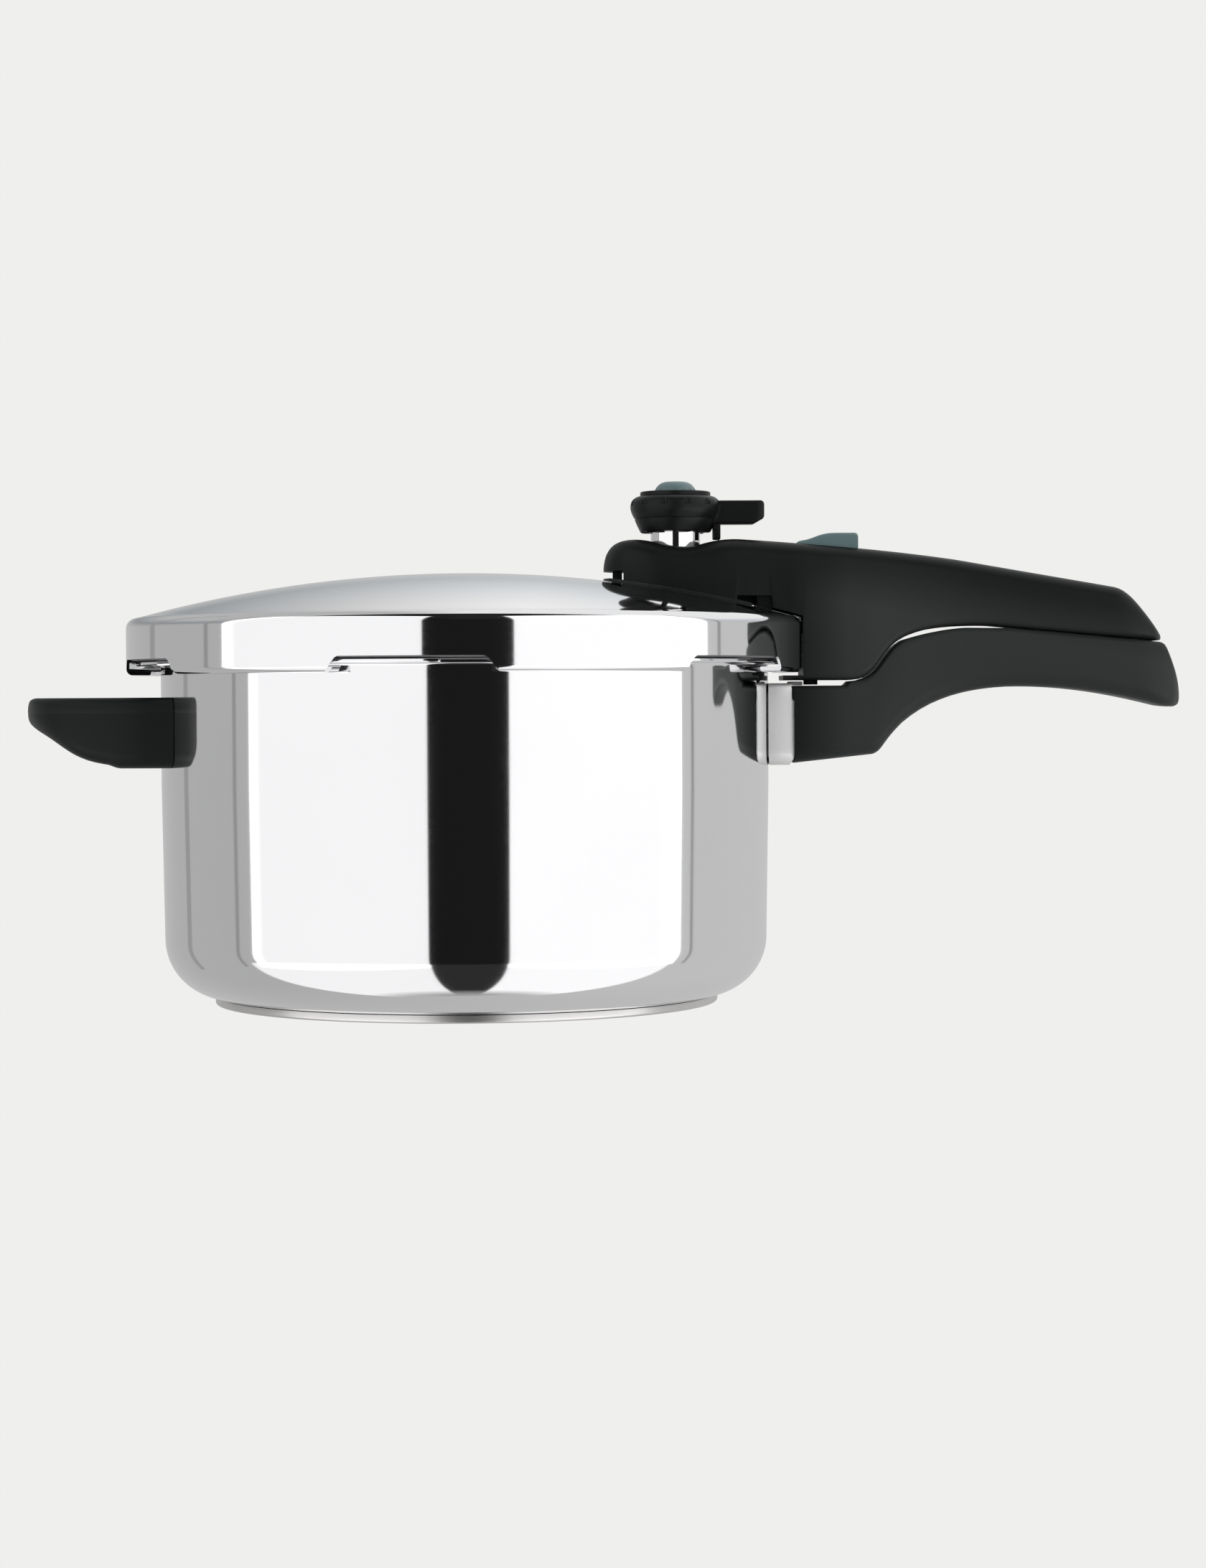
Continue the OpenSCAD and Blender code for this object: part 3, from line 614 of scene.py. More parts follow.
MATERIALS = {
    "pot_steel": polished_steel("pot_steel", (0.80, 0.80, 0.81), (0.76, 0.76, 0.77), 0.045, 0.085),
    "base_steel": polished_steel("base_steel", (0.68, 0.67, 0.66), (0.58, 0.57, 0.56), 0.28, 0.38, 0.1),
    "core_aluminium": brushed_steel("core_aluminium", (0.72, 0.73, 0.74), (0.6, 0.61, 0.62), 0.4,
                                    (1, 1, 0.1)),
    "bracket_steel": brushed_steel("bracket_steel", (0.66, 0.66, 0.66), (0.5, 0.5, 0.5), 0.3,
                                   (0.08, 1, 1)),
    "guard_steel": brushed_steel("guard_steel", (0.97, 0.968, 0.965), (0.88, 0.877, 0.873), 0.56,
                                 (1, 1, 0.03), 3200.0, 0.2),
    # The last colour of handle_black is painted light: the lighter tone lower down the handles' sides.
    "handle_black": moulded("handle_black", (0.006, 0.0075, 0.007), (0.009, 0.011, 0.0105), 0.42,
                            0.15, (0.038, 0.043, 0.041)),
    "base_black": moulded("base_black", (0.008, 0.0095, 0.009), (0.011, 0.0125, 0.012), 0.4, 0.25),
    "knob_black": moulded("knob_black", (0.006, 0.007, 0.0068), (0.010, 0.011, 0.0108), 0.36, 0.18),
    "valve_chrome": polished_steel("valve_chrome", (0.84, 0.84, 0.84), (0.8, 0.8, 0.8), 0.03, 0.06),
    "blue_grey": moulded("blue_grey", (0.122, 0.192, 0.202), (0.156, 0.232, 0.240), 0.36, 0.5),
    "screw_steel": brushed_steel("screw_steel", (0.62, 0.61, 0.58), (0.48, 0.47, 0.45), 0.28,
                                 (1, 1, 0.2)),
    "spring_steel": brushed_steel("spring_steel", (0.5, 0.5, 0.5), (0.38, 0.38, 0.38), 0.25,
                                  (1, 0.2, 1)),
    "gasket_rubber": silicone("gasket_rubber", (0.30, 0.30, 0.31), (0.36, 0.36, 0.37)),
    "seal_rubber": silicone("seal_rubber", (0.24, 0.24, 0.25), (0.30, 0.30, 0.31)),
}


def paint(piece, slot):
    piece.data.materials.clear()
    piece.data.materials.append(MATERIALS[slot])


def finish_piece(piece, node_name, body):
    """Gives a new piece the material and the body of the CAD node that it stands for."""
    slot = SLOTS[node_name]
    paint(piece, slot)
    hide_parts(node_name)
    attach(piece, body)


# ---------------------------------------------------------------- pot


def make_pot_body():
    """The drawn vessel, its flange turned out into six lugs with open spaces between them."""
    foot_r = BODY_R - BODY_TAPER
    bend_x = foot_r - BOTTOM_R
    bend_z = BASE_Z + BOTTOM_R
    lug_r = BODY_R + LUG_REACH
    flange_z = RIM_Z - FLANGE_T
    in_r = BOTTOM_R - BODY_WALL
    edge = 0.45 * MM
    outer = [(0, BASE_Z), (bend_x - 3 * MM, BASE_Z)]
    outer += arc(bend_x, bend_z, BOTTOM_R, -90, 0, 24)
    outer += [(foot_r + 0.05 * MM, bend_z + 3 * MM), (BODY_R, STRAIGHT_Z), (BODY_R, flange_z - 3 * MM)]
    outer += arc(BODY_R + 0.8 * MM, flange_z - 0.8 * MM, 0.8 * MM, 180, 90, 4)
    outer += arc(lug_r - edge, flange_z + edge, edge, -90, 0, 3)
    outer += arc(lug_r - edge, RIM_Z - edge, edge, 0, 90, 3)
    outer += arc(BODY_R - BODY_WALL + 1.4 * MM, RIM_Z - 1.4 * MM, 1.4 * MM, 90, 180, 5)
    inner = [(BODY_R - BODY_WALL, STRAIGHT_Z), (foot_r - BODY_WALL + 0.05 * MM, bend_z + 3 * MM)]
    inner += arc(bend_x, bend_z, in_r, 0, -90, 24)
    inner += [(bend_x - 3 * MM, BASE_Z + BODY_WALL), (0, BASE_Z + BODY_WALL)]
    piece = revolve("vessel", outer + inner, steps=192, smooth=40)
    space = 360 / TAB_COUNT - LUG_ANGLE
    cutters = []
    for i in range(TAB_COUNT):
        start = math.radians(FIRST_TAB + i * 360 / TAB_COUNT + LUG_ANGLE / 2)
        ring = [(BODY_R + FLANGE_REACH, flange_z - 2 * MM), (lug_r + 2 * MM, flange_z - 2 * MM),
                (lug_r + 2 * MM, RIM_Z + 2 * MM), (BODY_R + FLANGE_REACH, RIM_Z + 2 * MM)]
        cutters.append(revolve("lug_space", ring, steps=12, angle=math.radians(space), start=start))
    combine(piece, cutters)
    soften(piece, 0.3 * MM, 60)
    finish_piece(piece, "pot_body", "pot")


def make_base_cap():
    edge = 0.9 * MM
    sheet = 0.6 * MM
    inner = BASE_R - sheet
    groove_r = BASE_R - 15 * MM
    profile = [(0, 0), (groove_r - MM, 0), (groove_r, 0.25 * MM), (groove_r + MM, 0)]
    profile += arc(BASE_R - edge, edge, edge, -90, 0, 5)
    profile += [(BASE_R, BASE_Z - 0.5 * MM), (BASE_R - 0.2 * MM, BASE_Z), (inner, BASE_Z),
                (inner, sheet), (0, sheet)]
    piece = revolve("base_plate", profile, steps=160)
    finish_piece(piece, "base_cap", "pot")


# ---------------------------------------------------------------- lid


def make_notch_cutter(direction):
    """A flat tool with S-shaped ends that cuts one notch in the skirt's edge."""
    width = (360 / TAB_COUNT - TAB_ANGLE) / 2
    half = SKIRT_R * math.sin(math.radians(width))
    foot = TAB_Z - 2 * MM
    slope = 4.6 * MM
    side = [(half + slope * 0.55, foot), (half + slope * 0.5, TAB_Z)]
    side += bez((half + slope * 0.5, TAB_Z), (half + slope * 0.1, TAB_Z),
                (half - slope * 0.1, NOTCH_Z), (half - slope * 0.9, NOTCH_Z))
    left = [(-x, z) for x, z in reversed(side)]
    piece = new_piece("notch_tool")
    c, s = math.cos(direction), math.sin(direction)
    reach = LIP_IN - 4 * MM
    draw_ring([(reach * c - t * s, reach * s + t * c, z) for t, z in side + left])
    bpy.ops.mesh.edge_face_add()
    push = SKIRT_R + 6 * MM - reach
    bpy.ops.mesh.extrude_region_move(TRANSFORM_OT_translate={"value": (push * c, push * s, 0)})
    weld()
    return close_piece(piece)


def lid_outline():
    """Half a section of the lid: dome, shoulder, skirt and the lip of the tabs, then the inside."""
    bend = (SKIRT_R - SHOULDER_R, SHOULDER_Z - SHOULDER_R)
    steps = 40
    dome = [(CROWN_R * i / steps, dome_z(CROWN_R * i / steps)) for i in range(steps)]
    dome += [(CROWN_R - 0.6 * MM, dome_z(CROWN_R - 0.6 * MM))]
    shoulder = arc(*bend, SHOULDER_R, 75, 0, 12)
    skirt = [(SKIRT_R, bend[1] - 0.6 * MM), (SKIRT_R, TAB_Z + 3.2 * MM)]
    curl = 2.2 * MM
    skirt += arc(SKIRT_R - curl, TAB_Z + curl, curl, 0, -90, 8)
    tip = 0.7 * MM
    lip = [(LIP_IN + 2 * MM, TAB_Z)]
    lip += arc(LIP_IN + tip, TAB_Z + tip, tip, -90, -180, 3)
    lip += arc(LIP_IN + tip, TAB_Z + LIP_T - tip, tip, 180, 90, 3)
    lip += arc(SKIRT_R - LID_T - 0.6 * MM, TAB_Z + LIP_T + 0.6 * MM, 0.6 * MM, -90, 0, 3)
    inside = arc(*bend, SHOULDER_R - LID_T, 0, 72, 8)
    crown_in = CROWN_R - 0.9 * MM
    under = [(crown_in * i / 24, dome_z(crown_in * i / 24, -LID_T)) for i in range(24, -1, -1)]
    return dome + shoulder + skirt + lip + inside + under


def make_lid():
    piece = revolve("lid_pan", lid_outline(), steps=240, smooth=40)
    cutters = []
    for i in range(TAB_COUNT):
        cutters.append(make_notch_cutter(math.radians(FIRST_TAB + (i + 0.5) * 360 / TAB_COUNT)))
    hole_radii = {"vent_tube": 4.1 * MM, "safety_plug": 3.4 * MM, "float_pin": 3.2 * MM}
    for name, radius in hole_radii.items():
        lowest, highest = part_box(name)
        x = (lowest.x + highest.x) / 2
        cutters.append(rod("hole_tool", x, 0, radius, RIM_Z, DOME_TOP + 5 * MM, 48))
    combine(piece, cutters)
    soften(piece, 0.25 * MM, 55)
    steady_normals(piece)
    finish_piece(piece, "lid_shell", "lid")


# ---------------------------------------------------------------- handles


def lid_handle_top():
    """Nose, dip behind the valve, long gentle slope and the steep drop at the end."""
    points = bez(up(-72, 32.4), up(-71.6, 40.5), up(-68.5, 43.6), up(-60.4, 43.5),
                 up(-54, 43.3), up(-50, 40.8), up(-42, 40.8),
                 up(-37, 40.8), up(-34, 43.5), up(-24, 43.5),
                 up(-6, 42.4), up(36.4, 39.4), up(64.4, 34.4))
    points += bez(up(112.5, 25.7), up(117.8, 24.7), up(120.2, 20.2), up(125.8, 13.4))
    points += bez(up(129.4, 8.6), up(130.2, 7.9), up(130.4, 7.5), up(130.4, 7.2))
    return points + [up(130.4, 7.2)]


def lid_handle_foot():
    """Flat over the collar, then the curve that it shares with the pot handle's top."""
    points = [up(-7.5, -7.5), low(17.3, -7.5)]
    points += back_along(up(36.1, 7.8), up(26.5, 3), low(27, -7.4), low(17.3, -7.5))
    points += back_along(up(67.4, 12.1), up(52, 12.4), up(43, 11), up(36.1, 7.8))
    points += back_along(up(130.4, 7.2), up(130.2, 6.4), up(128.6, 6.2), up(127.6, 6.3))
    return points + [up(130.4, 7.0)]


def long_handle_width(x, tip):
    """Half width of the long handles: a waist, then wider, and round at the tip seen from above."""
    knots = [(SKIRT_R + 8 * MM, ROOT_HALF_W), (SKIRT_R + 60 * MM, WAIST_HALF_W),
             (tip - 18 * MM, END_HALF_W)]
    if x <= knots[0][0]:
        return ROOT_HALF_W
    for (x0, w0), (x1, w1) in zip(knots, knots[1:]):
        if x <= x1:
            t = (x - x0) / (x1 - x0)
            return w0 + (w1 - w0) * t * t * (3 - 2 * t)
    t = min(1.0, (x - knots[-1][0]) / (tip - knots[-1][0]))
    return END_HALF_W * math.sqrt(max(1 - t ** 3.2, 0.0))


def lid_handle_width(x):
    """The same with the rounded nose in front of it."""
    if x < VALVE_X:
        t = (VALVE_X - x) / (VALVE_X - NOSE_X)
        return NOSE_HALF_W * math.sqrt(max(1 - t ** 2.6, 0.0))
    end = SKIRT_R + 6 * MM
    if x < end:
        t = (x - VALVE_X) / (end - VALVE_X)
        return NOSE_HALF_W + (ROOT_HALF_W - NOSE_HALF_W) * t * t * (3 - 2 * t)
    return long_handle_width(x, LID_HANDLE_END)


def spaced(x0, x1, count, extra=()):
    """Places along X, closer together at both ends, with a finer stretch where the outline turns."""
    places = [x0 + (x1 - x0) * (1 - math.cos(math.pi * i / count)) / 2 for i in range(count + 1)]
    for a, b, n in extra:
        places += [a + (b - a) * i / n for i in range(n + 1)]
    places.sort()
    kept = [places[0]]
    for x in places[1:]:
        if x - kept[-1] > 0.12 * MM:
            kept.append(x)
    return kept


def lid_handle_stations():
    top = lid_handle_top()
    foot = lid_handle_foot()
    hook_x = SKIRT_R - 7.5 * MM
    turns = [(SKIRT_R + 14 * MM, SKIRT_R + 46 * MM, 40), (hook_x - 0.4 * MM, hook_x + 2 * MM, 6)]
    stations = []
    for x in spaced(NOSE_X + 0.1 * MM, LID_HANDLE_END - 0.1 * MM, 110, turns):
        low_z = RIM_Z + 12 * MM if x < hook_x else along(foot, x)
        high_z = along(top, x)
        stations.append((x, max(lid_handle_width(x), 0.6 * MM), low_z, high_z, UPPER_EDGES))
    return stations


def lid_space_tools():
    """Tools that clear the dome and skirt from under the lid handle, and relieve its nose."""
    gap = 1.2 * MM
    steps = 30
    clear_r = SKIRT_R + 0.7 * MM
    radii = [clear_r * i / steps for i in range(1, steps + 1)]
    foot_z = TAB_Z - 1.1 * MM
    inner_r = SKIRT_R - 20 * MM
    space = [(0, BELOW), (0, dome_z(0, gap)), *((r, dome_z(r, gap)) for r in radii)]
    space += [(clear_r, foot_z), (inner_r, foot_z), (inner_r, BELOW)]
    under = [up(-24, 10), up(-24, 23), *arc(*up(-17.6, 21.8), 1.2 * MM, 90, 0, 4), up(-16.4, 10)]
    tools = [revolve("lid_space", space, steps=160),
             block("nose_slot", (NOSE_X - 5 * MM, -WIDE, RIM_Z),
                   (NOSE_X + 7.4 * MM, WIDE, UPPER_Z + 32.2 * MM)),
             prism("under_cut", under, WIDE)]
    relief = [up(-24, 10), up(-24, 23), *arc(*up(-12.8, 21.4), 1.6 * MM, 90, 0, 5), up(-11.2, 10)]
    half_depth = WIDE / 2
    for side in (-1, 1):
        tools.append(prism("side_relief", relief, half_depth))
        shift_mesh(tools[-1], (0, side * (half_depth + 13.9 * MM), 0))
    return tools


def make_lid_handle():
    piece = loft("upper_grip", lid_handle_stations())
    combine(piece, lid_space_tools() + [
        block("front_hollow", (SKIRT_R - 63.1 * MM, -FRONT_HALF_W, RIM_Z - 4 * MM),
              (SKIRT_R - 2 * MM, FRONT_HALF_W, CEILING_Z), 1.5 * MM),
        block("lock_hollow", (SKIRT_R - 3 * MM, -9.5 * MM, RIM_Z + 10 * MM),
              (SKIRT_R + 27.7 * MM, 9.5 * MM, CEILING_Z), 1.5 * MM),
        rod("valve_hole", VALVE_X, 0, VALVE_R + 0.3 * MM, CEILING_Z - 5 * MM, FAR, 96),
        block("slider_track", (SKIRT_R - 11.2 * MM, -9 * MM, TRACK_Z),
              (SKIRT_R + 20.5 * MM, 9 * MM, TRACK_Z + 20 * MM), 0.8 * MM),
        block("stem_slot", (SKIRT_R + 0.2 * MM, -2.8 * MM, CEILING_Z - 3 * MM),
              (SKIRT_R + 15 * MM, 2.8 * MM, TRACK_Z + 3 * MM)),
        rod("pin_guide", PIN_X, 0, PIN_BORE_R, BELOW, SPRING_TOP, 32),
        rod("spring_chamber", PIN_X, 0, 3.6 * MM, RIM_Z + 1.5 * MM, SPRING_TOP, 48),
        rod("screw_hole", SKIRT_R + 42.7 * MM, 0, 4 * MM, BELOW, UPPER_Z + 29.4 * MM, 48)])
    boss = rod("pin_boss", PIN_X, 0, 2.6 * MM, RIM_Z - 9.1 * MM, RIM_Z - 5 * MM, 48)
    combine(boss, [rod("boss_bore", PIN_X, 0, PIN_BORE_R, RIM_Z - 12 * MM, RIM_Z, 32)])
    combine(piece, [boss], "UNION")
    soften(piece, 0.45 * MM, 45, 2)
    finish_piece(piece, "lid_handle_shell", "lid")


def pot_handle_top():
    points = [low(-6, -9.5), low(15.3, -9.5), low(16.9, -7.95)]
    points += bez(low(17.3, -7.9), low(28.6, -7.8), low(27.4, 1.9), low(36.6, 6.9),
                  low(43.5, 8.9), low(50, 11), low(62, 11.3))
    points += [low(75, 10.9), low(125.5, 6)]
    points += bez(low(127.5, 5.8), low(130.8, 5.8), low(131, 4.2), low(133, -0.2),
                  low(135.4, -5.6), low(137.1, -10.5), low(137.1, -14))
    return points + [low(137.1, -14)]


def pot_handle_foot():
    points = back_along(low(137.1, -14.6), low(137.1, -17.8), low(134.8, -18.1), low(129.3, -17.3),
                        low(113, -13), low(97, -10.2), low(79, -10.1),
                        low(59.5, -10), low(46, -14.2), low(35.7, -23),
                        low(27.2, -31.2), low(29, -33.7), low(23.4, -34.6))
    return [low(-6, -37.6), *points, low(137.1, -14.6)]


def make_pot_handle():
    """The lower grip with its spigot in the collar, and holes for the screw and the lock pin."""
    top = pot_handle_top()
    foot = pot_handle_foot()
    start = guard_low.x + 9.7 * MM
    turns = [(SKIRT_R + 14 * MM, SKIRT_R + 46 * MM, 44)]
    stations = []
    for x in spaced(start, POT_HANDLE_END - 0.1 * MM, 100, turns):
        width = max(long_handle_width(x, POT_HANDLE_END), 0.6 * MM)
        stations.append((x, width, along(foot, x), along(top, x), LOWER_EDGES))
    piece = loft("lower_grip", stations)
    spigot = block("spigot", (BODY_R + 2.5 * MM, -ROOT_HALF_W + 3 * MM, RIM_Z - 36.5 * MM),
                   (start + 1 * MM, ROOT_HALF_W - 3 * MM, RIM_Z - 10.5 * MM), 0.5 * MM)
    tooth = block("collar_tooth", (start - 1.1 * MM, -ROOT_HALF_W + 1.2 * MM, RIM_Z - 14.6 * MM),
                  (start + 1 * MM, ROOT_HALF_W - 1.2 * MM, RIM_Z - 9.6 * MM), 0.3 * MM)
    combine(piece, [spigot, tooth], "UNION")
    head_place = (SKIRT_R + 41 * MM, 0, SCREW_Z)
    bracket_half = 5.2 * MM
    combine(piece, [rod("pin_hole", PIN_X, 0, 1.8 * MM, RIM_Z - 18.5 * MM, RIM_Z, 48),
                    cylinder("head_hole", head_place, 4.65 * MM, 40 * MM, 48, (0, TURN / 4, 0)),
                    block("bracket_pocket", (BODY_R, -bracket_half - MM, SCREW_Z - bracket_half),
                          (BODY_R + 21.2 * MM, bracket_half + MM, SCREW_Z + bracket_half))])
    soften(piece, 0.4 * MM, 50, 2)
    finish_piece(piece, "pot_handle", "pot")


def pot_space(gap):
    """A tool for the room that the pot's wall takes, with a gap round it."""
    return rod("pot_space", 0, 0, BODY_R + gap, 50 * MM, 200 * MM, 256)


def make_flame_guard():
    """A pressed collar with a rolled front edge, a stepped corner and a small tab on top."""
    low_z, high_z = guard_low.z, RIM_Z - 8.6 * MM
    half_w = guard_high.y
    sheet = 0.8 * MM
    roll = 0.4 * MM
    low_edge, high_edge = 5.7 * MM, 1.8 * MM
    end = BODY_R + 9.2 * MM
    stations = [(BODY_R - 4 * MM, half_w, low_z, high_z, (low_edge, high_edge))]
    for i in range(5):
        a = TURN / 4 * i / 4
        inset = roll * (1 - math.cos(a))
        stations.append((end - roll + roll * math.sin(a), half_w - inset, low_z + inset,
                         high_z - inset, (low_edge - inset, high_edge - inset)))
    piece = loft("root_collar", stations, 8)
    inner = [(x, half_w - sheet, low_z + sheet, high_z - 0.9 * MM, (4.9 * MM, MM))
             for x in (BODY_R - 8 * MM, end + 3 * MM)]
    corner = [(end - 2.6 * MM, low_z - MM), (end + MM, low_z - MM), (end + MM, low_z + 6 * MM),
              (end, low_z + 5.5 * MM), (end - 0.7 * MM, low_z + 2.2 * MM)]
    combine(piece, [loft("collar_hollow", inner, 8), prism("corner_cut", corner, WIDE),
                    block("step_cut", (end - MM, -WIDE, high_z - 6.3 * MM),
                          (end + MM, WIDE, high_z + MM)),
                    pot_space(0.5 * MM)])
    tab = block("collar_tab", (end - 2 * MM, -4 * MM, high_z - 0.75 * MM),
                (end + 3.2 * MM, 4 * MM, high_z + 0.65 * MM), 0.25 * MM)
    combine(piece, [tab], "UNION")
    soften(piece, 0.12 * MM, 50, 2)
    finish_piece(piece, "flame_guard", "pot")


def helper_stations():
    def near_tip(x, z):
        return (helper_low.x + x * MM, RIM_Z + z * MM)

    def near_pot(x, z):
        return (-BODY_R + x * MM, RIM_Z + z * MM)

    foot = bez(near_tip(0, -18.1), near_tip(0, -21.5), near_tip(3.6, -23.2), near_tip(8.6, -25.6),
               near_tip(16.6, -29.4), near_tip(20.6, -34.6), near_pot(-16, -36.2),
               near_pot(-13, -36.5), near_pot(-13, -37.7), near_pot(-9, -37.7))
    foot += [near_pot(20, -37.7)]
    top = bez(near_tip(0, -18.0), near_tip(0, -14), near_tip(2.2, -12.7), near_tip(7.5, -12.7))
    top += [near_pot(20, -12.7)]
    plan = bez((helper_low.x, 0), (helper_low.x, HELPER_HALF_W * 0.7),
               (-BODY_R - 25 * MM, HELPER_HALF_W), (-BODY_R, HELPER_HALF_W), steps=40)
    plan += [(-BODY_R + 20 * MM, HELPER_HALF_W)]
    step = (-BODY_R - 18 * MM, -BODY_R - 8 * MM, 14)
    return [(x, max(along(plan, x), 0.8 * MM), along(foot, x), along(top, x), HELPER_EDGES)
            for x in spaced(helper_low.x + 0.1 * MM, -BODY_R + 14 * MM, 76, [step])]


def press_line(piece, height, depth):
    """A fine moulding line round the piece at one height."""
    edit_all(piece)
    bpy.ops.mesh.select_mode(type="VERT")
    for shift in (-1.6 * depth, 0, 1.6 * depth):
        bpy.ops.mesh.select_all(action="SELECT")
        bpy.ops.mesh.bisect(plane_co=(0, 0, height + shift), plane_no=(0, 0, 1))
    bpy.ops.mesh.select_all(action="DESELECT")
    mesh = bmesh.from_edit_mesh(piece.data)
    for vertex in mesh.verts:
        vertex.select_set(abs(vertex.co.z - height) < 0.2 * depth)
    bmesh.update_edit_mesh(piece.data)
    bpy.ops.transform.shrink_fatten(value=-depth)
    bpy.ops.object.mode_set(mode="OBJECT")


def make_helper_handle():
    piece = loft("short_grip", helper_stations())
    combine(piece, [pot_space(0.15 * MM)])
    soften(piece, 0.35 * MM, 50, 2)
    press_line(piece, RIM_Z - 18.3 * MM, 0.12 * MM)
    finish_piece(piece, "helper_handle", "pot")


# ---------------------------------------------------------------- valve


def make_valve_body():
    """A barrel with a socket for the tube below, a seat, and a chamber for needle and spring."""
    socket_r, socket_z = 4.05 * MM, valve_low.z + 4.8 * MM
    seat_r, seat_z = 1.7 * MM, valve_low.z + 5.6 * MM
    stem_r, roof_z = 2.2 * MM, valve_high.z - 1.2 * MM
    bore = 5.5 * MM
    edge = 0.3 * MM
    profile = [(socket_r, valve_low.z), (VALVE_R - edge, valve_low.z), (VALVE_R, valve_low.z + edge),
               (VALVE_R, valve_high.z - edge), (VALVE_R - edge, valve_high.z), (stem_r, valve_high.z),
               (stem_r, roof_z), (bore, roof_z), (bore, seat_z), (seat_r, seat_z),
               (seat_r, socket_z), (socket_r, socket_z)]
    piece = revolve("valve_barrel", profile, (VALVE_X, 0), 96)
    finish_piece(piece, "valve_body", "lid")


def rods_round(name, count, first, reach, radius, z0, z1, steps):
    """Upright rods in a ring about the valve. The first stands a part of a step from +X."""
    tools = []
    for i in range(count):
        a = TURN * (i + first) / count
        x, y = VALVE_X + reach * math.cos(a), reach * math.sin(a)
        tools.append(rod(name, x, y, radius, z0, z1, steps))
    return tools


def lever_stations(z):
    """A bar out from the knob, its underside chamfered towards the tip and its end rounded."""
    low_z, high_z = z + 3 * MM, z + 11.6 * MM
    half_w = 4.5 * MM
    chamfer = 4.2 * MM
    corner = 1.4 * MM
    root = VALVE_X + KNOB_R - 3.5 * MM
    stations = []
    for i in range(15):
        x = root + (LEVER_TIP - root) * i / 14
        lift = max(0.0, (x - (LEVER_TIP - chamfer)) / chamfer)
        if x < LEVER_TIP - corner:
            stations.append((x, half_w, low_z + 2.2 * MM * lift, high_z, (MM, MM)))
    for a in (10, 30, 50, 70, 88):
        turn = math.radians(a)
        inset = corner * (1 - math.cos(turn))
        stations.append((LEVER_TIP - corner * (1 - math.sin(turn)), half_w - inset,
                         low_z + 1.7 * MM + inset, high_z - inset, (0.8 * MM, 0.8 * MM)))
    return stations


def make_knob():
    z = valve_high.z - 8.5 * MM

    def at(radius, height):
        return (radius * MM, z + height * MM)

    profile = [at(9.01, 0.6), at(9.4, 0), at(11.9, 0)]
    profile += bez(at(11.9, 0), at(12.5, 0), at(12.8, 0.3), at(13.1, 1.0), steps=5)
    profile += bez(at(13.1, 1.0), at(13.8, 2.4), at(14.4, 3.6), at(14.8, 4.9), steps=6)
    profile += [at(14.8, 4.9), at(14.65, 5.05), at(14.7, 5.25)]
    profile += bez(at(15.05, 5.4), at(15.9, 7.0), at(16.35, 8.2), at(16.35, 9.4), steps=8)
    profile += bez(at(16.35, 9.4), at(16.35, 11.2), at(15.5, 12.8), at(13.2, 13.3))
    profile += [at(13.2, 13.3), at(12.75, 13.45), at(12.8, 14.2)]
    profile += bez(at(12.8, 14.2), at(12.8, 14.7), at(12.5, 15), at(11.8, 15), steps=5)
    profile += [at(8.3, 15), at(7.9, 14.8), at(7.9, 11.3), at(2.6, 11.3), at(2.6, 8.6), at(9.01, 8.6)]
    piece = revolve("selector", profile, (VALVE_X, 0), 120)
    dents = rods_round("thumb_dent", 12, 0.5, 16.7 * MM, 1.3 * MM, z + 9.8 * MM, z + 13.1 * MM, 16)
    scallops = rods_round("foot_scallop", 6, 0.25, 12.4 * MM, 4.2 * MM, z - MM, z + 0.45 * MM, 32)
    combine(piece, dents + scallops)
    lever = loft("lever", lever_stations(z))
    leg = block("lever_leg", (VALVE_X + 13.5 * MM, -4 * MM, z - 2.5 * MM),
                (VALVE_X + 16.3 * MM, 4 * MM, z + 5 * MM), 0.5 * MM)
    combine(piece, [lever, leg], "UNION")
    soften(piece, 0.25 * MM, 40, 2)
    finish_piece(piece, "valve_knob", "knob")


def make_valve_cap():
    """A domed button with flutes round its side and a socket for the needle."""
    z0 = button_low.z
    r = (button_high.x - button_low.x) / 2
    top = button_high.z
    shoulder = KNOB_TOP + 0.2 * MM
    socket_r, socket_z = 2.12 * MM, z0 + 2.5 * MM
    profile = [(socket_r, z0), (r - 0.3 * MM, z0), (r, z0 + 0.3 * MM), (r, shoulder)]
    profile += bez((r, shoulder), (r - 0.9 * MM, KNOB_TOP + 2.0 * MM),
                   (5.6 * MM, top - 0.1 * MM), (2.8 * MM, top))
    profile += [(2.8 * MM, top), (1.2 * MM, top - 0.12 * MM), (0, top - 0.15 * MM),
                (0, socket_z), (socket_r, socket_z)]
    piece = revolve("pressure_cap", profile, (VALVE_X, 0), 128)
    combine(piece, rods_round("flute_tool", 16, 0, r + 0.35 * MM, 0.8 * MM,
                              KNOB_TOP - 1.2 * MM, top + 2 * MM, 20))
    soften(piece, 0.15 * MM, 45, 2)
    finish_piece(piece, "valve_cap", "needle")


# ---------------------------------------------------------------- slider


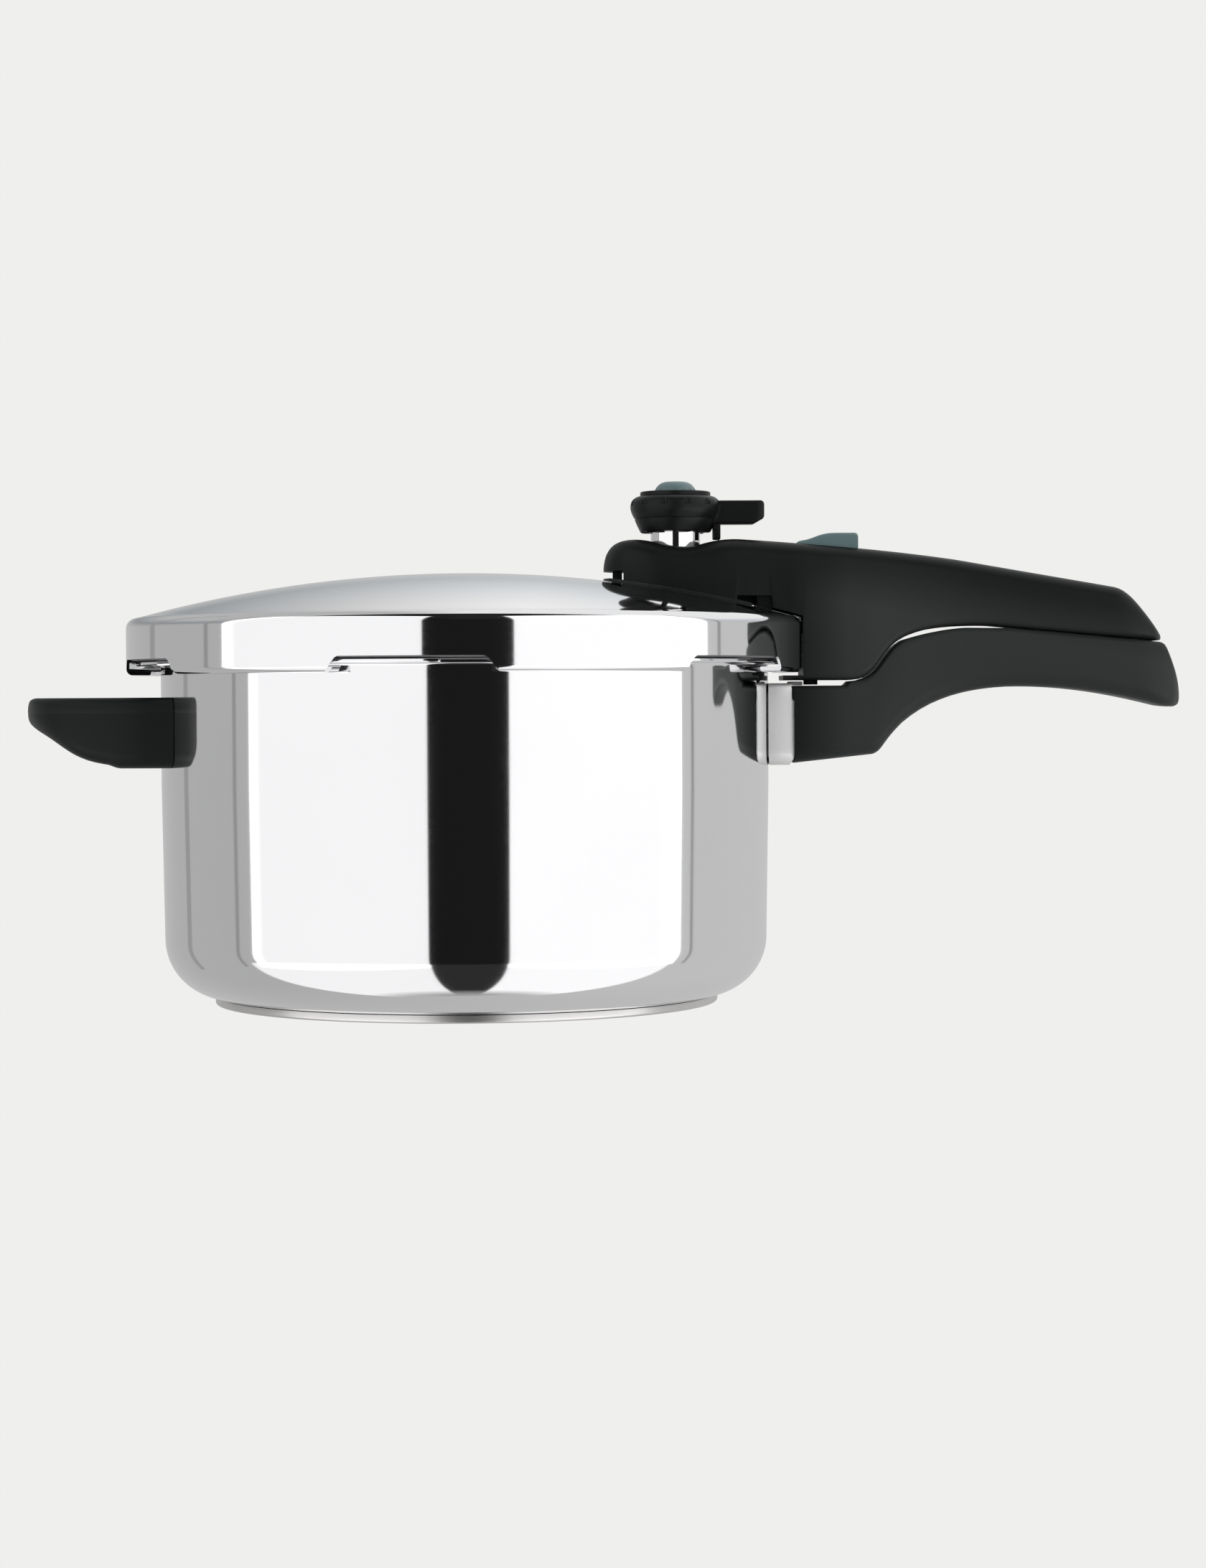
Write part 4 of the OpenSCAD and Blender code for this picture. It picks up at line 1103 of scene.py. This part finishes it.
def make_slider():
    """A ramp for the thumb that rises towards the back, on a stem that reaches the bolt."""
    front, back = SKIRT_R - 2 * MM, slider_high.x
    track = TRACK_Z + 0.15 * MM
    top = slider_high.z

    def at(x, z):
        return (front + x * MM, track + z * MM)

    ramp_end = (front + 13.8 * MM, top)
    curve = [at(0, 2.6), *bez(at(0, 2.6), at(0.1, 3.4), at(1.2, 3.6), at(3.4, 3.9), steps=8)]
    curve += bez(at(3.4, 3.9), at(7, 4.8), (front + 8.6 * MM, top), ramp_end, steps=12)
    curve += [ramp_end, (back - 1.0 * MM, top), (back - 0.35 * MM, top - 0.3 * MM),
              (back, top - 1.0 * MM)]
    piece = loft("lock_button", [(x, 8.7 * MM, track, along(curve, x), (0.4 * MM, 1.2 * MM))
                                 for x in spaced(front, back, 40)])
    stem = block("button_stem", (SKIRT_R + 8.6 * MM, -2.4 * MM, UPPER_Z + 24.4 * MM),
                 (SKIRT_R + 14.6 * MM, 2.4 * MM, track + 1 * MM))
    combine(piece, [stem], "UNION")
    ribs = [block("grip_rib", (front + (15.5 + 1.6 * i) * MM, -6 * MM, top - 0.25 * MM),
                  (front + (16.1 + 1.6 * i) * MM, 6 * MM, top + 1 * MM)) for i in range(3)]
    combine(piece, ribs)
    soften(piece, 0.12 * MM, 50, 1)
    finish_piece(piece, "lock_slider", "slider")


# ---------------------------------------------------------------- carried-over pieces


def paint_frame_nodes():
    for name, item in frame["nodes"].items():
        paint(item, SLOTS[name])


# ---------------------------------------------------------------- studio


def toward(angle, distance):
    """A place on the table at an angle from the front, seen from the pot."""
    turn = math.radians(angle)
    return Vector((math.sin(turn), -math.cos(turn), 0)) * distance


def softbox(name, first_angle, last_angle, radiance):
    """An upright light panel that spans two directions as seen from the pot."""
    a, b = toward(first_angle, PANEL_FAR), toward(last_angle, PANEL_FAR)
    light = bpy.data.lights.new(name, "AREA")
    light.shape = "RECTANGLE"
    light.size = (b - a).length
    light.size_y = PANEL_TALL
    light.energy = radiance * math.pi * light.size * light.size_y
    item = bpy.data.objects.new(name, light)
    bpy.context.scene.collection.objects.link(item)
    middle = (a + b) / 2
    item.location = (middle.x, middle.y, PANEL_Z)
    item.rotation_euler = (-middle).to_track_quat("-Z", "Y").to_euler()
    item.visible_camera = False


def flag(name, angle, width, tone):
    """A narrow dark strip that draws a line in the mirrored steel."""
    start_clean()
    place = toward(angle, PANEL_FAR + 150 * MM)
    bpy.ops.mesh.primitive_plane_add(size=1, location=(place.x, place.y, PANEL_Z),
                                     rotation=(TURN / 4, 0, math.radians(angle)))
    item = bpy.context.object
    item.name = name
    item.scale = (width, PANEL_TALL + 100 * MM, 1)
    material, tree, shader = new_material(name)
    tree.nodes.remove(shader)
    glow = feed(tree, node(tree, "ShaderNodeEmission"), Color=(tone, tone, tone, 1))
    tree.links.new(glow.outputs[0], tree.nodes["Material Output"].inputs["Surface"])
    item.data.materials.append(material)
    item.visible_camera = False
    item.visible_shadow = False


def only_for_camera(tree, seen, other, output):
    """Shows one shader to the camera and the other to every other ray."""
    mix = node(tree, "ShaderNodeMixShader")
    tree.links.new(node(tree, "ShaderNodeLightPath").outputs["Is Camera Ray"], mix.inputs[0])
    tree.links.new(other.outputs[0], mix.inputs[1])
    tree.links.new(seen.outputs[0], mix.inputs[2])
    tree.links.new(mix.outputs[0], tree.nodes[output].inputs["Surface"])


def make_floor():
    start_clean()
    bpy.ops.mesh.primitive_circle_add(vertices=96, radius=60, fill_type="NGON", location=(0, 0, 0))
    floor = bpy.context.object
    floor.name = "studio_floor"
    material, tree, shader = new_material("pale_floor")
    feed(tree, shader, Base_Color=(0.5, 0.5, 0.5, 1), Roughness=0.9, Specular_IOR_Level=0.0)
    glow = feed(tree, node(tree, "ShaderNodeEmission"), Color=PALE)
    only_for_camera(tree, glow, shader, "Material Output")
    floor.data.materials.append(material)
    floor.visible_glossy = False


def make_world():
    """A pale backdrop for the camera and a graded grey room for the reflections.

    x, y and z point right, back and up from the pot. Each ramp is one soft edge in the room: its
    first pair says where it lies, its second pair the brightness before and after it.
    """
    world = bpy.data.worlds.new("studio")
    bpy.context.scene.world = world
    world.use_nodes = True
    tree = world.node_tree
    x, y, z = split(tree, node(tree, "ShaderNodeTexCoord").outputs["Generated"])
    horizon = ramp_between(tree, x, -0.7, 0.7, 0.50, 0.64)
    ceiling = math_node(tree, "MULTIPLY", ramp_between(tree, z, 0.22, 0.46, 0.60, 0.98),
                        ramp_between(tree, x, -0.18, 0.0, 0.55, 1.0))
    upper = ramp_between(tree, z, 0.05, 0.22, horizon, ceiling)
    behind = math_node(tree, "MULTIPLY", upper, ramp_between(tree, y, -0.17, -0.13, 0.02, 1.0))
    side = math_node(tree, "DIVIDE", x, flat_length(tree, x, y))
    sweep = math_node(tree, "MAXIMUM", ramp_between(tree, side, -0.20, -0.19, 1.12, 0.03),
                      ramp_between(tree, side, 0.30, 0.31, 0.03, 1.22))
    front = ramp_between(tree, y, 0.0, -0.03, 0.0, sweep)
    under = ramp_between(tree, z, -0.93, -0.985, front, 0.42)
    table = ramp_between(tree, z, -0.28, -0.30, 0.0, under)
    cool = math_node(tree, "MULTIPLY", ramp_between(tree, z, 0.1, 0.2, 0.0, 1.0),
                     ramp_between(tree, z, 0.3, 0.42, 1.0, 0.0))
    room = feed(tree, tree.nodes["Background"], Strength=math_node(tree, "MAXIMUM", behind, table),
                Color=colour_between(tree, cool, (1, 1, 1), (0.96, 1.0, 1.03)))
    pale = feed(tree, node(tree, "ShaderNodeBackground"), Color=PALE)
    only_for_camera(tree, pale, room, "World Output")


def make_studio():
    make_floor()
    make_world()
    softbox("softbox_left", -11.2, -82, 1.13)
    softbox("softbox_right", 17.4, 86.5, 1.24)
    flag("edge_line_left", -90, 0.05, 0.33)
    flag("edge_line_right", 92.5, 0.04, 0.35)
    flag("stand_line", -123, 0.10, 0.36)
    bpy.context.scene.view_settings.view_transform = "Standard"


def make_camera():
    """A long lens from the side, a little above the rim."""
    camera = bpy.data.cameras.new("view")
    camera.sensor_fit = "VERTICAL"
    camera.sensor_height = 36
    camera.lens = 77.87
    item = bpy.data.objects.new("view", camera)
    bpy.context.scene.collection.objects.link(item)
    item.location = Vector((50, -1235, 110.2)) * MM
    downwards, roll = math.radians(1.467), math.radians(0.27)
    item.rotation_mode = "XYZ"
    item.rotation_euler = (TURN / 4 - downwards, roll, 0)
    bpy.context.scene.camera = item


make_camera()
paint_frame_nodes()
make_pot_body()
make_base_cap()
make_lid()
make_lid_handle()
make_pot_handle()
make_flame_guard()
make_helper_handle()
make_valve_body()
make_knob()
make_valve_cap()
make_slider()
make_studio()
